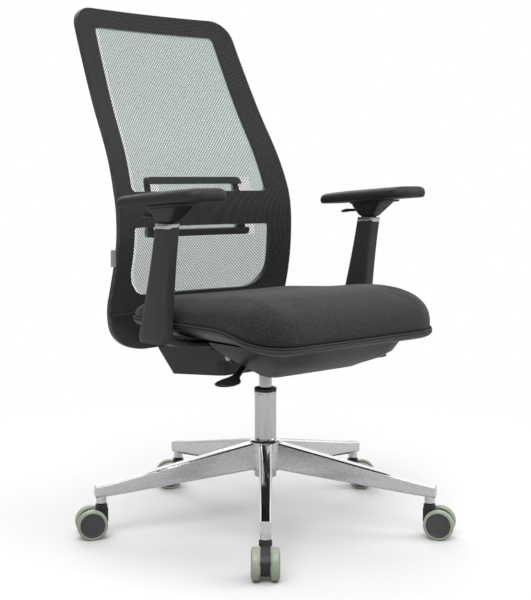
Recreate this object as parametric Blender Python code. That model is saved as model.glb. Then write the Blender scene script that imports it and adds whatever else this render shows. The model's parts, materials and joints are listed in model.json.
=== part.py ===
"""Swivel office chair with a mesh back, built as the separate pieces that it comes apart into.

Metres, +Z up, floor at z = 0. The sitter faces -Y, with the right hand at -X. All places are
measured from the swivel axis, which stands at (AXIS_X, AXIS_Y), so that the origin is the
middle of the chair's footprint.
"""
import math
from dataclasses import dataclass

import bmesh
import bpy
from mathutils import Matrix, Vector

# --- Places -----------------------------------------------------------------------------------
AXIS_X = -0.0089                # swivel axis, from the middle of the footprint
AXIS_Y = -0.0246
GAP = 0.0003                    # clearance between pieces that touch

# --- Star base --------------------------------------------------------------------------------
LEG_ANGLES = (-132.0, -60.0, 12.0, 84.0, 156.0)
STEM_CIRCLE = 0.340             # swivel axis to a caster's stem
HUB_RADIUS = 0.034
HUB_TOP = 0.174
HUB_BOTTOM = 0.110
LEG_END = 0.012                 # leg beyond the stem
LEG_ROOT = (0.170, 0.114, 0.0135)   # top, bottom, half width at the hub
LEG_TIP = (0.104, 0.081, 0.0105)    # the same at the stem
LEG_CHAMFER = 0.003
SOCKET_RADIUS = 0.0100
SOCKET_BOTTOM = 0.0695
STEM_RADIUS = 0.0055
STEM_TOP = 0.094

# --- Casters ----------------------------------------------------------------------------------
CASTER_ANGLES = (-132.0, -57.0, -48.0, 146.0, 153.0)    # way each caster trails
TRAIL = 0.020
WHEEL_RADIUS = 0.030
WHEEL_FACETS = 20
WHEEL_INNER = 0.0100            # inner face of a wheel, from the caster's middle plane
WHEEL_OUTER = 0.0262
DISC_RADIUS = 0.0225
DISC_RECESS = 0.0018
TREAD_ROUND = 0.0035
AXLE_RADIUS = 0.0035
HOOD_HALF = 0.0092
HOOD_RADIUS = 0.0225
HOOD_TOP = 0.0665
HOOD_COLLAR = 0.0120

# --- Column -----------------------------------------------------------------------------------
TUBE_RADIUS = 0.0220
TUBE_WALL = 0.0025
TUBE_BOTTOM = 0.0970
TUBE_TOP = 0.2740
TUBE_FLOOR = 0.0030
BUSH_TOP = 0.2820
BUSH_FLANGE = 0.0230
BUSH_BOTTOM = 0.2050
CYLINDER_RADIUS = 0.0130
CYLINDER_BOTTOM = 0.1250
CYLINDER_TOP = 0.3500
CYLINDER_BORE = 0.0105
CYLINDER_CAP = 0.0100
ROD_RADIUS = 0.0042
PISTON_LOW = 0.3240
PISTON_HIGH = 0.3340
BEARING_RADIUS = 0.0120
BEARING_HEIGHT = 0.0060
CLIP_RADIUS = 0.0090
CLIP_HEIGHT = 0.0020
BUTTON_RADIUS = 0.0035
BUTTON_HEIGHT = 0.0045

# --- Mechanism --------------------------------------------------------------------------------
BODY_HALF = 0.0580
BODY_FRONT = -0.1350
BODY_REAR = 0.0550
BODY_BOTTOM = 0.3315
BODY_TOP_FRONT = 0.3755
BODY_TOP_REAR = 0.3565
BODY_WALL = 0.0045
BOSS_RADIUS = 0.0210
BOSS_BOTTOM = 0.3160
BOSS_TOP = 0.3520
RECLINE_Y = 0.0350
RECLINE_Z = 0.3460
RECLINE_PIN = 0.0050
TILT_Y = -0.1100
TILT_Z = 0.3600
TILT_PIN = 0.0040
PIN_HEAD = 0.0080
PIN_HEAD_THICK = 0.0030
SIDE_PLATE_IN = 0.0605          # plates that straddle the mechanism
SIDE_PLATE_OUT = 0.0680
SPRING_COIL = 0.0075
SPRING_WIRE = 0.0011
SPRING_TURNS = 9
SPRING_HALF = 0.0400
PLATE_HALF = 0.0900
PLATE_FRONT = -0.1300
PLATE_REAR = 0.0900
PLATE_BOTTOM = 0.3855
PLATE_TOP = 0.3897
LEVER_Y = -0.0300
LEVER_X = 0.0680
LEVER_Z = 0.3390
LEVER_PIN = 0.0025
LEVER_ROOT_HALF = 0.0110
LEVER_ROOT_RADIUS = 0.0065
LEVER_EAR = 0.0045

# --- Seat -------------------------------------------------------------------------------------
SEAT_HALF = 0.2430
SEAT_FRONT = -0.2780
SEAT_REAR = 0.1750
SEAT_CORNER = 0.0800
SEAM_SIDE = 0.4300              # height of the seam between cushion and shell
SEAM_FRONT = 0.4050
SEAM_DIP_FROM = -0.1200
CORNER_STEPS = 6
SIDE_STATIONS = (-0.150, -0.120)
SHELL_FLOOR = 0.3900
SHELL_WALL = 0.0030
PAN_BOTTOM = 0.4070
PAN_TOP = 0.4120
PAN_INSET = 0.0400
CUSHION_CROWN = ((-0.285, 0.4670), (-0.215, 0.4865), (-0.160, 0.4890), (-0.110, 0.4865),
                 (-0.020, 0.4760), (0.180, 0.4650))     # y and top of the cushion along its middle
COWL_WALL = 0.0030
COWL_LIFT = 0.0180              # how much the scoop rises to the front

# --- Back -------------------------------------------------------------------------------------
BACK_TOP = 1.0630
BACK_BOTTOM = 0.3380
BACK_CORNER = 0.0450
BACK_STATIONS = ((0.338, 0.290), (0.38, 0.274), (0.42, 0.256), (0.46, 0.243), (0.50, 0.232), (0.55, 0.222),
                 (0.60, 0.218), (0.65, 0.221), (0.70, 0.233), (0.76, 0.255), (0.85, 0.298), (0.95, 0.3395),
                 (1.063, 0.3850))       # z and y of the middle of the front face
FRAME_THICK = 0.0130
RAIL = 0.0480
OPENING_TOP = 1.0210
CROSSBAR_TOP = 0.6770
CROSSBAR_BOTTOM = 0.6040
OPENING_BOTTOM = 0.4620
MESH_THICK = 0.0015
BACK_ROWS = 22
BACK_COLUMNS = 10
MESH_FIRST_ROW = 5              # the mesh starts at this row of the back
LUMBAR_TOP = 0.7040
LUMBAR_BOTTOM = 0.5850
LUMBAR_BAR = 0.0120
LUMBAR_HALF = 0.1380
LUMBAR_PLATE = 0.0040
CARRIER_HALF = 0.0650
CARRIER_SIDE_VIEW = ((0.0650, 0.3020), (0.2260, 0.2880), (0.2860, 0.3380), (0.2870, 0.3800), (0.2640, 0.4040),
                     (0.2440, 0.3960), (0.2250, 0.3700), (0.0900, 0.3560), (0.0650, 0.3540))   # y and z

# --- Arms -------------------------------------------------------------------------------------
ARM_X = 0.2700
COLLAR_Y = -0.0310
COLLAR_LOW = 0.6050
COLLAR_HIGH = 0.6220
FOOT_Y = 0.0110
FOOT_Z = 0.3960
POST_TOP_SIZE = (0.0290, 0.0470)
POST_FOOT_SIZE = (0.0360, 0.0790)
RISER_SIZE = (0.0200, 0.0360)
RISER_REACH = 0.1050            # riser inside the post when it is down
POCKET_DEPTH = 0.1150
BRACKET_STATIONS = ((0.272, 0.3990, 0.4130, -0.022, 0.044),     # x, then z and y from and to
                    (0.240, 0.3880, 0.3995, -0.026, 0.048),
                    (0.200, 0.3840, 0.3940, -0.026, 0.048),
                    (0.110, 0.3765, 0.3850, -0.024, 0.046),
                    (0.078, 0.3765, 0.3850, -0.022, 0.044))
PAD_SLOPE = math.radians(5.6)
PAD_LENGTH = 0.2540
PAD_WIDTH = 0.0900
PAD_THICK = 0.0240
PAD_CORNER = 0.0300
PAD_CENTRE_Y = -0.0380
PAD_BASE_Z = 0.6570             # underside of the pad at its centre
PAD_PLATE_THICK = 0.0050


@dataclass
class Pivot:
    """An empty on a joint's axis, and its place from the swivel axis."""
    empty: bpy.types.Object
    place: Vector


def clear_scene():
    for item in list(bpy.data.objects):
        bpy.data.objects.remove(item, do_unlink=True)


def make_material(name, colour, roughness, metallic=0.0):
    material = bpy.data.materials.new(name)
    material.use_nodes = True
    shader = material.node_tree.nodes["Principled BSDF"]
    shader.inputs["Base Color"].default_value = (*colour, 1.0)
    shader.inputs["Roughness"].default_value = roughness
    shader.inputs["Metallic"].default_value = metallic
    return material


def make_pivot(name, place, parent=None, turn=0.0):
    """Put an empty on a joint's axis, under the pivot of the piece that carries it."""
    empty = bpy.data.objects.new(name, None)
    bpy.context.scene.collection.objects.link(empty)
    empty.empty_display_size = 0.02
    empty.rotation_euler.z = turn
    place = Vector(place)
    if parent is None:
        empty.location = place
        return Pivot(empty, Vector((0.0, 0.0, 0.0)))
    empty.parent = parent.empty
    empty.location = place - parent.place
    return Pivot(empty, place)


def make_piece(bm, name, finish, pivot, local=False, smooth=math.radians(40)):
    """Turn a bmesh into a named object under a pivot. Its shape is given from the swivel axis."""
    bm.normal_update()
    bmesh.ops.recalc_face_normals(bm, faces=bm.faces)
    if bm.calc_volume(signed=True) < 0.0:
        bmesh.ops.reverse_faces(bm, faces=bm.faces)
    mesh = bpy.data.meshes.new(name)
    bm.to_mesh(mesh)
    bm.free()
    if not local:
        mesh.transform(Matrix.Translation(-pivot.place))
    mesh.shade_smooth()
    mesh.set_sharp_from_angle(angle=smooth)
    piece = bpy.data.objects.new(name, mesh)
    bpy.context.scene.collection.objects.link(piece)
    piece.parent = pivot.empty
    if finish is not None:
        mesh.materials.append(finish)
    return piece


def make_tool(bm, name, pivot, local=False):
    """A shape that only cuts or joins another."""
    tool = make_piece(bm, name, None, pivot, local)
    tool.hide_render = True
    tool.display_type = "WIRE"
    return tool


def combine(target, tool, operation):
    modifier = target.modifiers.new(tool.name, "BOOLEAN")
    modifier.operation = operation
    modifier.solver = "EXACT"
    modifier.object = tool


# --- Shapes -----------------------------------------------------------------------------------
def smooth_step(value):
    value = min(1.0, max(0.0, value))
    return value * value * (3.0 - 2.0 * value)


def blend(low, high, share):
    return low + (high - low) * share


def ellipse_like(width, depth, power=2.6, count=16):
    """Points round an oval that is a little squarer than an ellipse."""
    points = []
    for step in range(count):
        angle = 2.0 * math.pi * (step + 0.5) / count
        cosine = math.cos(angle)
        sine = math.sin(angle)
        x = math.copysign(abs(cosine) ** (2.0 / power), cosine) * width / 2.0
        y = math.copysign(abs(sine) ** (2.0 / power), sine) * depth / 2.0
        points.append((x, y))
    return points


def rounded_rectangle(half_x, low_y, high_y, radius, steps=5):
    """Points round a rectangle whose corners are arcs, anticlockwise from the front right."""
    corners = (
        (half_x - radius, low_y + radius, -90.0),
        (half_x - radius, high_y - radius, 0.0),
        (radius - half_x, high_y - radius, 90.0),
        (radius - half_x, low_y + radius, 180.0),
    )
    points = []
    for centre_x, centre_y, start in corners:
        for step in range(steps + 1):
            angle = math.radians(start + 90.0 * step / steps)
            points.append((centre_x + radius * math.cos(angle), centre_y + radius * math.sin(angle)))
    return points


def loft(rings, poke=False):
    """A closed body through rings of points: the first ring's edge is extruded to each next one."""
    bm = bmesh.new()
    verts = [bm.verts.new(point) for point in rings[0]]
    edges = [bm.edges.new((verts[index - 1], verts[index])) for index in range(len(verts))]
    first = list(verts)
    for ring in rings[1:]:
        grown = bmesh.ops.extrude_edge_only(bm, edges=edges)["geom"]
        fresh = {item for item in grown if isinstance(item, bmesh.types.BMVert)}
        edges = [item for item in grown if isinstance(item, bmesh.types.BMEdge)
                 and item.verts[0] in fresh and item.verts[1] in fresh]
        for index, (vert, point) in enumerate(zip(verts, ring)):
            verts[index] = next(edge.other_vert(vert) for edge in vert.link_edges
                                if edge.other_vert(vert) in fresh)
            verts[index].co = point
    caps = [bm.faces.new(first), bm.faces.new(verts)]
    if poke:
        bmesh.ops.poke(bm, faces=caps)
    return bm


def turned(profile, count=20, ring=False):
    """Spin a profile of (radius, height) about Z. A ring's profile closes on itself."""
    bm = bmesh.new()
    verts = [bm.verts.new((radius, 0.0, height)) for radius, height in profile]
    edges = [bm.edges.new(pair) for pair in zip(verts, verts[1:])]
    if ring:
        edges.append(bm.edges.new((verts[-1], verts[0])))
    bmesh.ops.spin(bm, geom=verts + edges, cent=(0.0, 0.0, 0.0), axis=(0.0, 0.0, 1.0),
                   angle=2.0 * math.pi, steps=count, use_merge=True)
    bmesh.ops.remove_doubles(bm, verts=bm.verts, dist=1e-6)
    return bm


def box(low, high):
    bm = bmesh.new()
    bmesh.ops.create_cube(bm, size=1.0)
    size = Vector(high) - Vector(low)
    centre = (Vector(high) + Vector(low)) / 2.0
    bmesh.ops.scale(bm, verts=bm.verts, vec=size)
    bmesh.ops.translate(bm, verts=bm.verts, vec=centre)
    return bm


def rod(start, end, radius, count=16, end_radius=None):
    """A straight round bar between two points."""
    start = Vector(start)
    end = Vector(end)
    axis = end - start
    place = Matrix.Translation((start + end) / 2.0) @ axis.to_track_quat("Z", "Y").to_matrix().to_4x4()
    bm = bmesh.new()
    bmesh.ops.create_cone(bm, cap_ends=True, segments=count, radius1=radius,
                          radius2=radius if end_radius is None else end_radius,
                          depth=axis.length, matrix=place)
    return bm


def prism_along_y(outline, low_y, high_y):
    """A flat outline of (x, z) points, extruded from low_y to high_y."""
    return loft([[(x, y, z) for x, z in outline] for y in (low_y, high_y)])


# --- Star base and casters --------------------------------------------------------------------
def leg_ring(reach, top, bottom, half):
    """An eight-sided section of a leg that points along +X."""
    chamfer = LEG_CHAMFER
    section = (
        (-half, bottom + chamfer), (chamfer - half, bottom), (half - chamfer, bottom),
        (half, bottom + chamfer), (half, top - chamfer), (half - chamfer, top),
        (chamfer - half, top), (-half, top - chamfer),
    )
    return [(reach, y, z) for y, z in section]


def build_base(finish, chair):
    profile = (
        (0.0, HUB_BOTTOM), (HUB_RADIUS - 0.006, HUB_BOTTOM), (HUB_RADIUS, HUB_BOTTOM + 0.008),
        (HUB_RADIUS, HUB_TOP - 0.004), (HUB_RADIUS - 0.004, HUB_TOP), (0.0, HUB_TOP),
    )
    base = make_piece(turned(profile, 30), "star_base", finish, chair)
    for number, degrees in enumerate(LEG_ANGLES, 1):
        turn = Matrix.Rotation(math.radians(degrees), 4, "Z")
        rings = [
            leg_ring(0.024, *LEG_ROOT),
            leg_ring(STEM_CIRCLE - 0.03, LEG_TIP[0] + 0.0068, LEG_TIP[1] + 0.0025, LEG_TIP[2]),
            leg_ring(STEM_CIRCLE + LEG_END, *LEG_TIP),
        ]
        leg = loft(rings)
        leg.transform(turn)
        combine(base, make_tool(leg, f"leg_shape_{number}", chair), "UNION")
        socket = rod((STEM_CIRCLE, 0.0, SOCKET_BOTTOM), (STEM_CIRCLE, 0.0, LEG_TIP[0] - 0.002),
                     SOCKET_RADIUS)
        socket.transform(turn)
        combine(base, make_tool(socket, f"socket_shape_{number}", chair), "UNION")
        bore = rod((STEM_CIRCLE, 0.0, SOCKET_BOTTOM - 0.01), (STEM_CIRCLE, 0.0, STEM_TOP + 0.002),
                   STEM_RADIUS + GAP)
        bore.transform(turn)
        combine(base, make_tool(bore, f"socket_bore_{number}", chair), "DIFFERENCE")
    column_bore = rod((0.0, 0.0, HUB_BOTTOM - 0.02), (0.0, 0.0, HUB_TOP + 0.02), TUBE_RADIUS + 2 * GAP, 30)
    combine(base, make_tool(column_bore, "column_bore", chair), "DIFFERENCE")
    return base


def hood_outline():
    """Side view of a caster's hood as (x, z): a round cheek with a block up to the stem."""
    points = []
    for degrees in range(-150, 61, 30):
        angle = math.radians(degrees)
        points.append((TRAIL + HOOD_RADIUS * math.cos(angle),
                       WHEEL_RADIUS + HOOD_RADIUS * math.sin(angle)))
    points.append((HOOD_COLLAR, HOOD_TOP - 0.006))
    points.append((-HOOD_COLLAR, HOOD_TOP - 0.006))
    points.append((-HOOD_COLLAR, WHEEL_RADIUS + 0.004))
    return points


def build_caster(number, degrees, trail_degrees, finishes, chair):
    stem_angle = math.radians(degrees)
    stem = (STEM_CIRCLE * math.cos(stem_angle), STEM_CIRCLE * math.sin(stem_angle), 0.0)
    swivel = make_pivot(f"caster_{number}_swivel", stem, chair, math.radians(trail_degrees))
    hood = make_piece(prism_along_y(hood_outline(), -HOOD_HALF, HOOD_HALF),
                      f"caster_{number}_hood", finishes["black"], swivel, local=True)
    collar = turned(((0.0, HOOD_TOP - 0.010), (HOOD_COLLAR, HOOD_TOP - 0.010), (HOOD_COLLAR, HOOD_TOP),
                     (STEM_RADIUS, HOOD_TOP + 0.001), (STEM_RADIUS, STEM_TOP), (0.0, STEM_TOP)), 16)
    combine(hood, make_tool(collar, f"caster_{number}_stem_shape", swivel, local=True), "UNION")
    bore = rod((TRAIL, -0.02, WHEEL_RADIUS), (TRAIL, 0.02, WHEEL_RADIUS), AXLE_RADIUS + GAP, 12)
    combine(hood, make_tool(bore, f"caster_{number}_axle_bore", swivel, local=True), "DIFFERENCE")

    reach = WHEEL_OUTER - DISC_RECESS - 0.001
    axle = rod((TRAIL, -reach, WHEEL_RADIUS), (TRAIL, reach, WHEEL_RADIUS), AXLE_RADIUS, 12)
    make_piece(axle, f"caster_{number}_axle", finishes["steel"], swivel, local=True)
    for side, sign in (("left", 1.0), ("right", -1.0)):
        wheel = turned(wheel_profile(), WHEEL_FACETS, ring=True)
        flat_down = Matrix.Rotation(math.pi / WHEEL_FACETS, 4, "Z")
        wheel.transform(Matrix.Rotation(-math.pi / 2.0 * sign, 4, "X") @ flat_down)
        piece = make_piece(wheel, f"caster_{number}_wheel_{side}", finishes["tyre"], swivel, local=True)
        piece.location = (TRAIL, 0.0, WHEEL_RADIUS)


def wheel_profile():
    """Half section of a wheel as (radius, distance out along the axle); its flats touch the floor."""
    bore = AXLE_RADIUS + GAP
    corner = WHEEL_RADIUS / math.cos(math.pi / WHEEL_FACETS)
    return (
        (bore, WHEEL_INNER), (corner - TREAD_ROUND, WHEEL_INNER),
        (corner, WHEEL_INNER + TREAD_ROUND), (corner, WHEEL_OUTER - TREAD_ROUND),
        (corner - TREAD_ROUND, WHEEL_OUTER), (DISC_RADIUS, WHEEL_OUTER),
        (DISC_RADIUS, WHEEL_OUTER - DISC_RECESS), (bore, WHEEL_OUTER - DISC_RECESS),
    )


# --- Column -----------------------------------------------------------------------------------
def build_column(finishes, chair, spindle, lift, valve):
    inner = TUBE_RADIUS - TUBE_WALL
    hole = ROD_RADIUS + 0.001
    tube = turned(((TUBE_RADIUS, TUBE_BOTTOM), (TUBE_RADIUS, TUBE_TOP), (inner, TUBE_TOP),
                   (inner, TUBE_BOTTOM + TUBE_FLOOR), (hole, TUBE_BOTTOM + TUBE_FLOOR),
                   (hole, TUBE_BOTTOM)), 24, ring=True)
    make_piece(tube, "column_tube", finishes["chrome"], chair)

    sleeve = inner - GAP
    guide = CYLINDER_RADIUS + GAP
    low = TUBE_TOP + GAP
    bush = turned(((guide, BUSH_BOTTOM), (sleeve, BUSH_BOTTOM), (sleeve, low), (BUSH_FLANGE, low),
                   (BUSH_FLANGE, BUSH_TOP), (guide, BUSH_TOP)), 24, ring=True)
    make_piece(bush, "guide_bush", finishes["black"], chair)

    floor = TUBE_BOTTOM + TUBE_FLOOR + GAP
    bearing = turned(((hole, floor), (BEARING_RADIUS, floor), (BEARING_RADIUS, floor + BEARING_HEIGHT),
                      (hole, floor + BEARING_HEIGHT)), 20, ring=True)
    make_piece(bearing, "thrust_bearing", finishes["steel"], chair)

    clip_top = TUBE_BOTTOM - GAP
    rod_bottom = clip_top - CLIP_HEIGHT - 0.001
    shoulder = floor + BEARING_HEIGHT + GAP
    rod_shape = turned(((0.0, rod_bottom), (ROD_RADIUS, rod_bottom), (ROD_RADIUS, shoulder),
                        (ROD_RADIUS + 0.002, shoulder), (ROD_RADIUS + 0.002, shoulder + 0.003),
                        (ROD_RADIUS, shoulder + 0.003), (ROD_RADIUS, PISTON_LOW),
                        (CYLINDER_BORE - GAP, PISTON_LOW), (CYLINDER_BORE - GAP, PISTON_HIGH),
                        (0.0, PISTON_HIGH)), 16)
    make_piece(rod_shape, "piston_rod", finishes["steel"], spindle)
    clip_hole = ROD_RADIUS + GAP
    clip = turned(((clip_hole, clip_top - CLIP_HEIGHT), (CLIP_RADIUS, clip_top - CLIP_HEIGHT),
                   (CLIP_RADIUS, clip_top), (clip_hole, clip_top)), 16, ring=True)
    make_piece(clip, "retaining_clip", finishes["steel"], spindle)

    neck = ROD_RADIUS + GAP
    cavity_low = CYLINDER_BOTTOM + CYLINDER_CAP
    cavity_high = CYLINDER_TOP - CYLINDER_CAP
    cylinder = turned(((0.0, cavity_high), (CYLINDER_BORE, cavity_high), (CYLINDER_BORE, cavity_low),
                       (neck, cavity_low), (neck, CYLINDER_BOTTOM), (CYLINDER_RADIUS, CYLINDER_BOTTOM),
                       (CYLINDER_RADIUS, CYLINDER_TOP), (0.0, CYLINDER_TOP)), 20)
    make_piece(cylinder, "gas_cylinder", finishes["chrome"], lift)
    button = rod((0.0, 0.0, CYLINDER_TOP + GAP + 0.003), (0.0, 0.0, CYLINDER_TOP + GAP + 0.003 + BUTTON_HEIGHT),
                 BUTTON_RADIUS, 12)
    make_piece(button, "valve_button", finishes["steel"], valve)


# --- Mechanism --------------------------------------------------------------------------------
def build_housing(finishes, lift):
    body = box((-BODY_HALF, BODY_FRONT, BODY_BOTTOM), (BODY_HALF, BODY_REAR, BODY_TOP_FRONT))
    for vert in body.verts:
        if vert.co.y > 0.0 and vert.co.z > BODY_BOTTOM + GAP:
            vert.co.z = BODY_TOP_REAR
        if vert.co.y < 0.0 and vert.co.z < BODY_BOTTOM + GAP:
            vert.co.z = BODY_BOTTOM + 0.012
    housing = make_piece(body, "mechanism_housing", finishes["dark_steel"], lift)
    for sign in (-1.0, 1.0):
        for near in (LEVER_Y - LEVER_ROOT_HALF - GAP - LEVER_EAR, LEVER_Y + LEVER_ROOT_HALF + GAP):
            ear = box((min(sign * (BODY_HALF - 0.002), sign * (LEVER_X + 0.007)), near, LEVER_Z - 0.007),
                      (max(sign * (BODY_HALF - 0.002), sign * (LEVER_X + 0.007)), near + LEVER_EAR,
                       LEVER_Z + 0.007))
            combine(housing, make_tool(ear, f"lever_ear_{len(housing.modifiers)}", lift), "UNION")
    pocket = box((BODY_WALL - BODY_HALF, BODY_FRONT + BODY_WALL, BODY_BOTTOM + 0.0165),
                 (BODY_HALF - BODY_WALL, BODY_REAR - BODY_WALL, BODY_TOP_FRONT + 0.02))
    for vert in pocket.verts:
        if vert.co.y > 0.0 and vert.co.z < BODY_BOTTOM + 0.03:
            vert.co.z = BODY_BOTTOM + BODY_WALL
    combine(housing, make_tool(pocket, "housing_pocket", lift), "DIFFERENCE")
    boss = rod((0.0, 0.0, BOSS_BOTTOM), (0.0, 0.0, BOSS_TOP), BOSS_RADIUS, 20)
    combine(housing, make_tool(boss, "housing_boss", lift), "UNION")
    bore = rod((0.0, 0.0, BOSS_BOTTOM - 0.02), (0.0, 0.0, BOSS_TOP + 0.02), CYLINDER_RADIUS + 2 * GAP, 20)
    combine(housing, make_tool(bore, "housing_bore", lift), "DIFFERENCE")
    reach = BODY_HALF + 0.02
    for name, y, z, radius in (("recline", RECLINE_Y, RECLINE_Z, RECLINE_PIN),
                               ("tilt", TILT_Y, TILT_Z, TILT_PIN)):
        hole = rod((-reach, y, z), (reach, y, z), radius + GAP)
        combine(housing, make_tool(hole, f"housing_{name}_hole", lift), "DIFFERENCE")
    for sign in (-1.0, 1.0):
        hole = rod((sign * LEVER_X, LEVER_Y - 0.03, LEVER_Z), (sign * LEVER_X, LEVER_Y + 0.03, LEVER_Z),
                   LEVER_PIN + GAP, 12)
        combine(housing, make_tool(hole, f"lever_hole_{len(housing.modifiers)}", lift), "DIFFERENCE")


def headed_pin(y, z, radius, half_length):
    """A pin across the chair with a flat head on each end."""
    profile = ((0.0, -half_length), (PIN_HEAD, -half_length), (PIN_HEAD, PIN_HEAD_THICK - half_length),
               (radius, PIN_HEAD_THICK - half_length), (radius, half_length - PIN_HEAD_THICK),
               (PIN_HEAD, half_length - PIN_HEAD_THICK), (PIN_HEAD, half_length), (0.0, half_length))
    bm = turned(profile, 16)
    bm.transform(Matrix.Translation((0.0, y, z)) @ Matrix.Rotation(math.pi / 2.0, 4, "Y"))
    return bm


def build_spring(finish, lift):
    """Torsion spring, wound about the recline pin."""
    steps = SPRING_TURNS * 12
    rings = []
    for step in range(steps + 1):
        angle = 2.0 * math.pi * step / 12
        x = blend(-SPRING_HALF, SPRING_HALF, step / steps)
        outward = Vector((0.0, math.cos(angle), math.sin(angle)))
        centre = Vector((x, RECLINE_Y, RECLINE_Z)) + outward * SPRING_COIL
        ring = []
        for corner in range(4):
            around = math.pi / 2.0 * corner
            ring.append(centre + SPRING_WIRE * (outward * math.cos(around)
                                                + Vector((1.0, 0.0, 0.0)) * math.sin(around)))
        rings.append(ring)
    make_piece(loft(rings), "recline_spring", finish, lift)


def build_lever(name, sign, droop, finish, pivot):
    """Paddle lever: a root on its pin, a flat arm going out and forward, and a paddle."""
    root = rod((sign * LEVER_X, LEVER_Y - LEVER_ROOT_HALF, LEVER_Z),
               (sign * LEVER_X, LEVER_Y + LEVER_ROOT_HALF, LEVER_Z), LEVER_ROOT_RADIUS)
    lever = make_piece(root, name, finish, pivot)
    stations = (
        (0.070, LEVER_Y, 0.0, 0.0078, 0.0058), (0.110, LEVER_Y - 0.020, -0.002, 0.0085, 0.0058),
        (0.150, LEVER_Y - 0.045, -0.006, 0.0095, 0.0050), (0.172, LEVER_Y - 0.062, -0.009, 0.0200, 0.0040),
        (0.196, LEVER_Y - 0.075, -0.011, 0.0300, 0.0036), (0.214, LEVER_Y - 0.078, -0.012, 0.0240, 0.0030),
        (0.222, LEVER_Y - 0.078, -0.012, 0.0100, 0.0020),
    )
    rings = []
    for x, y, drop, half_width, half_thick in stations:
        z = LEVER_Z + drop * droop
        rings.append([
            (sign * x, y + half_width * math.cos(math.radians(angle)),
             z + half_thick * math.sin(math.radians(angle)))
            for angle in range(0, 360, 45)
        ])
    combine(lever, make_tool(loft(rings), f"{name}_arm_shape", pivot), "UNION")
    hole = rod((sign * LEVER_X, LEVER_Y - 0.03, LEVER_Z), (sign * LEVER_X, LEVER_Y + 0.03, LEVER_Z),
               LEVER_PIN + GAP, 12)
    combine(lever, make_tool(hole, f"{name}_hole", pivot), "DIFFERENCE")


def build_lever_pin(name, sign, finish, lift):
    reach = LEVER_ROOT_HALF + LEVER_EAR + 0.002
    pin = rod((sign * LEVER_X, LEVER_Y - reach, LEVER_Z), (sign * LEVER_X, LEVER_Y + reach, LEVER_Z),
              LEVER_PIN, 12)
    make_piece(pin, name, finish, lift)


def build_seat_plate(finish, seat):
    """Steel plate under the shell, with two ears down to the front pin."""
    plate = make_piece(box((-PLATE_HALF, PLATE_FRONT, PLATE_BOTTOM), (PLATE_HALF, PLATE_REAR, PLATE_TOP)),
                       "seat_plate", finish, seat)
    for sign in (-1.0, 1.0):
        low = min(sign * SIDE_PLATE_IN, sign * SIDE_PLATE_OUT)
        high = max(sign * SIDE_PLATE_IN, sign * SIDE_PLATE_OUT)
        ear = box((low, TILT_Y - 0.013, TILT_Z - 0.010), (high, TILT_Y + 0.013, PLATE_BOTTOM + 0.002))
        combine(plate, make_tool(ear, f"seat_ear_{len(plate.modifiers)}", seat), "UNION")
    hole = rod((-0.1, TILT_Y, TILT_Z), (0.1, TILT_Y, TILT_Z), TILT_PIN + GAP)
    combine(plate, make_tool(hole, "seat_ear_hole", seat), "DIFFERENCE")


# --- Seat -------------------------------------------------------------------------------------
def seam_height(y):
    dip = smooth_step((SEAM_DIP_FROM - y) / (SEAM_DIP_FROM - SEAT_FRONT))
    return blend(SEAM_SIDE, SEAM_FRONT, dip)


def cushion_height(y):
    """Height of the cushion's top at y: a roll under the thighs, lower behind it."""
    for (low_y, low_z), (high_y, high_z) in zip(CUSHION_CROWN, CUSHION_CROWN[1:]):
        if y <= high_y:
            return blend(low_z, high_z, (y - low_y) / (high_y - low_y))
    return CUSHION_CROWN[-1][1]


def seat_outline(inset):
    """The seat seen from above, drawn in by inset, with points on its sides where the seam dips."""
    radius = max(0.012, SEAT_CORNER - inset)
    half = SEAT_HALF - inset
    points = rounded_rectangle(half, SEAT_FRONT + inset, SEAT_REAR - inset, radius, CORNER_STEPS)
    right_end = CORNER_STEPS + 1
    left_end = 3 * right_end
    right = [(half, y) for y in SIDE_STATIONS]
    left = [(-half, y) for y in reversed(SIDE_STATIONS)]
    return points[:right_end] + right + points[right_end:left_end] + left + points[left_end:]


def seat_ring(inset, height):
    """The seat's outline drawn in by inset; height gives z at a point's y."""
    return [(x, y, height(y)) for x, y in seat_outline(inset)]


def shell_under(y):
    return seam_height(y) - 0.026


def build_shell(finish, seat):
    rings = [
        seat_ring(0.110, lambda y: SHELL_FLOOR),
        seat_ring(0.060, lambda y: blend(shell_under(y), SHELL_FLOOR, 0.75)),
        seat_ring(0.020, shell_under),
        seat_ring(0.006, lambda y: seam_height(y) - 0.016),
        seat_ring(0.001, lambda y: seam_height(y) - 0.001),
        seat_ring(0.001 + SHELL_WALL, lambda y: seam_height(y) - 0.001),
        seat_ring(0.006 + SHELL_WALL, lambda y: seam_height(y) - 0.015),
        seat_ring(0.022, lambda y: shell_under(y) + SHELL_WALL),
        seat_ring(0.061, lambda y: blend(shell_under(y), SHELL_FLOOR, 0.75) + SHELL_WALL),
        seat_ring(0.110, lambda y: SHELL_FLOOR + SHELL_WALL),
    ]
    make_piece(loft(rings), "seat_shell", finish, seat)


def build_pan(finish, seat):
    rings = [seat_ring(PAN_INSET, lambda y: PAN_BOTTOM), seat_ring(PAN_INSET, lambda y: PAN_TOP)]
    make_piece(loft(rings), "seat_pan", finish, seat)


def build_cushion(finish, seat):
    def rise(share):
        return lambda y: blend(seam_height(y), cushion_height(y), share)

    rings = [
        seat_ring(0.036, lambda y: PAN_TOP + GAP),
        seat_ring(0.014, lambda y: min(seam_height(y) - 0.006, PAN_TOP + 0.004)),
        seat_ring(0.0046, lambda y: seam_height(y) - 0.0005),
        seat_ring(0.001, rise(0.0)),
        seat_ring(-0.004, rise(0.25)),
        seat_ring(-0.003, rise(0.55)),
        seat_ring(0.012, rise(0.83)),
        seat_ring(0.040, rise(0.97)),
        seat_ring(0.090, rise(1.0)),
    ]
    make_piece(loft(rings, poke=True), "seat_cushion", finish, seat)


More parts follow.
